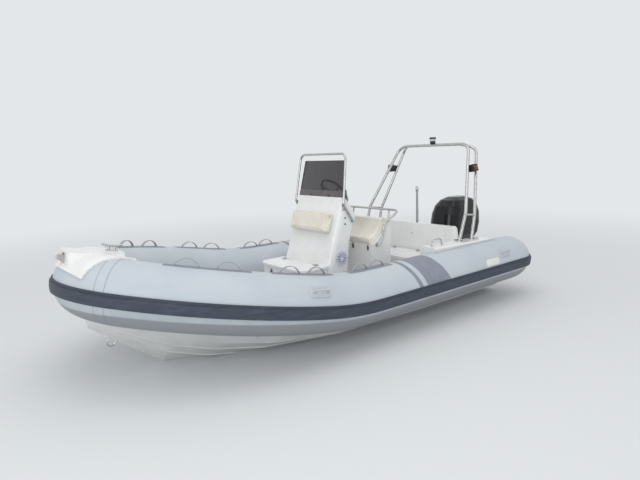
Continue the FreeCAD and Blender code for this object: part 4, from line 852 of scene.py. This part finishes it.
def addGauges():
    normal = Vector(gauges["normal"]).normalized()
    turn = normal.to_track_quat("Z", "Y")
    radius = gauges["radius"]
    first, last = gauges["scale"]
    row = Vector(gauges["low"]) + Vector(gauges["run"]) * gauges["up"]
    for side, across in gauges["across"].items():
        centre = row + Vector((0, across, 0)) + normal * gauges["out"]
        face = addDisc("gauge_face_" + side, radius, 0.0012, centre, turn.to_euler(), 0.0003)
        place(face, "gaugeCard", "black_plastic")
        bpy.ops.object.select_all(action="DESELECT")
        bpy.ops.mesh.primitive_torus_add(location=centre, rotation=turn.to_euler(),
                                         major_radius=radius + 0.002, minor_radius=gauges["bezel"],
                                         major_segments=48, minor_segments=10)
        bezel = bpy.context.object
        bezel.name = "gauge_bezel_" + side
        place(bezel, "polishedStainless", "stainless")
        parts = []
        for i in range(gauges["ticks"]):
            angle = math.radians(first + (last - first) * i / (gauges["ticks"] - 1))
            reach = radius * 0.84
            spot = centre + turn @ Vector((math.cos(angle) * reach, math.sin(angle) * reach, 0.0009))
            spin = (turn @ Quaternion((0, 0, 1), angle)).to_euler()
            parts.append(addBlock("gauge_tick", (0.005, 0.0011, 0.0006), spot, 0.0001, spin))
        angle = math.radians(gauges["pointer"])
        middle = radius * 0.3
        spot = centre + turn @ Vector((math.cos(angle) * middle, math.sin(angle) * middle, 0.0018))
        spin = (turn @ Quaternion((0, 0, 1), angle)).to_euler()
        parts.append(addBlock("gauge_pointer", (radius * 0.85, 0.0014, 0.0006), spot, 0.0001, spin))
        hub = centre + normal * 0.0016
        parts.append(addDisc("gauge_hub", 0.0045, 0.0030, hub, turn.to_euler(), 0.0006))
        place(together(parts, "gauge_scale_" + side), "gaugeInk", "white_nylon")


addGauges()


# webbing loops, with the strap's edges rounded as a woven selvedge is
straps = {"edge": 0.0009, "angle": 50}


def addStraps():
    piece = copyNode("grab_loops", "strap_loops")
    edge = piece.modifiers.new("edge", "BEVEL")
    edge.width = straps["edge"]
    edge.segments = 2
    edge.angle_limit = math.radians(straps["angle"])
    bpy.ops.object.modifier_apply(modifier=edge.name)
    place(piece, "webbing", "webbing")
    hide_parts("grab_loops")


addStraps()
print("gauges and straps added")


# floor at the waterline, sky and two soft lamps

light = {"sky": 0.86, "skyColor": "#f3f5f7", "backdrop": "#e4e7e9", "floor": "#dfe2e4",
         "floorCloud": "#dde0e2", "fade": (3.6, 12.0),
         "lamps": {"overhead": (150, (1.5, 2.5, 8.0), 8.0), "side": (110, (7.0, 5.0, 3.0), 4.0)}}


def addStage():
    bpy.ops.object.select_all(action="DESELECT")
    bpy.ops.mesh.primitive_plane_add(size=400, location=(0, 0, 0))
    floor = bpy.context.object
    floor.name = "floor"
    material, tree, shader, where = startMaterial("floorPaint", {"Roughness": 0.9})
    cloud = addNode(tree, "TexNoise", {"Vector": where, "Scale": 0.8, "Detail": 3.0})["Fac"]
    tones = {0: cloud, 6: hexColor(light["floor"]), 7: hexColor(light["floorCloud"])}
    base = addNode(tree, "Mix", tones, data_type="RGBA")[2]
    tree.links.new(base, shader["Base Color"])
    away = addNode(tree, "VectorMath", {0: where}, operation="LENGTH")["Value"]
    near, far = light["fade"]
    reach = {"Value": away, "From Min": near, "From Max": far}
    share = addNode(tree, "MapRange", reach, interpolation_type="SMOOTHSTEP")["Result"]
    distant = addNode(tree, "Emission", {"Color": hexColor(light["backdrop"]), "Strength": 1.0})[0]
    painted = tree.nodes["Principled BSDF"].outputs[0]
    shown = addNode(tree, "MixShader", {0: share, 1: painted, 2: distant})[0]
    tree.links.new(shown, tree.nodes["Material Output"].inputs["Surface"])
    floor.data.materials.append(material)
    world = bpy.data.worlds.new("sky")
    bpy.context.scene.world = world
    world.use_nodes = True
    tree = world.node_tree
    sky = tree.nodes["Background"]
    sky.inputs["Color"].default_value = hexColor(light["skyColor"])
    sky.inputs["Strength"].default_value = light["sky"]
    plain = addNode(tree, "Background", {"Color": hexColor(light["backdrop"]), "Strength": 1.0})[0]
    path = addNode(tree, "LightPath", {})
    seen = path["Is Camera Ray"]
    for other in ("Is Transmission Ray", "Is Glossy Ray"):
        seen = addNode(tree, "Math", {0: seen, 1: path[other]}, operation="MAXIMUM")[0]
    mixed = addNode(tree, "MixShader", {0: seen, 1: sky.outputs[0], 2: plain})[0]
    tree.links.new(mixed, tree.nodes["World Output"].inputs["Surface"])
    for name, (power, spot, size) in light["lamps"].items():
        data = bpy.data.lights.new(name, "AREA")
        data.energy = power
        data.size = size
        lamp = bpy.data.objects.new(name, data)
        lamp.location = spot
        lamp.rotation_euler = (Vector((0, 0, 0.5)) - Vector(spot)).to_track_quat("-Z", "Y").to_euler()
        bpy.context.scene.collection.objects.link(lamp)


addStage()
bpy.context.scene.view_settings.view_transform = "Standard"
print("floor and light set")
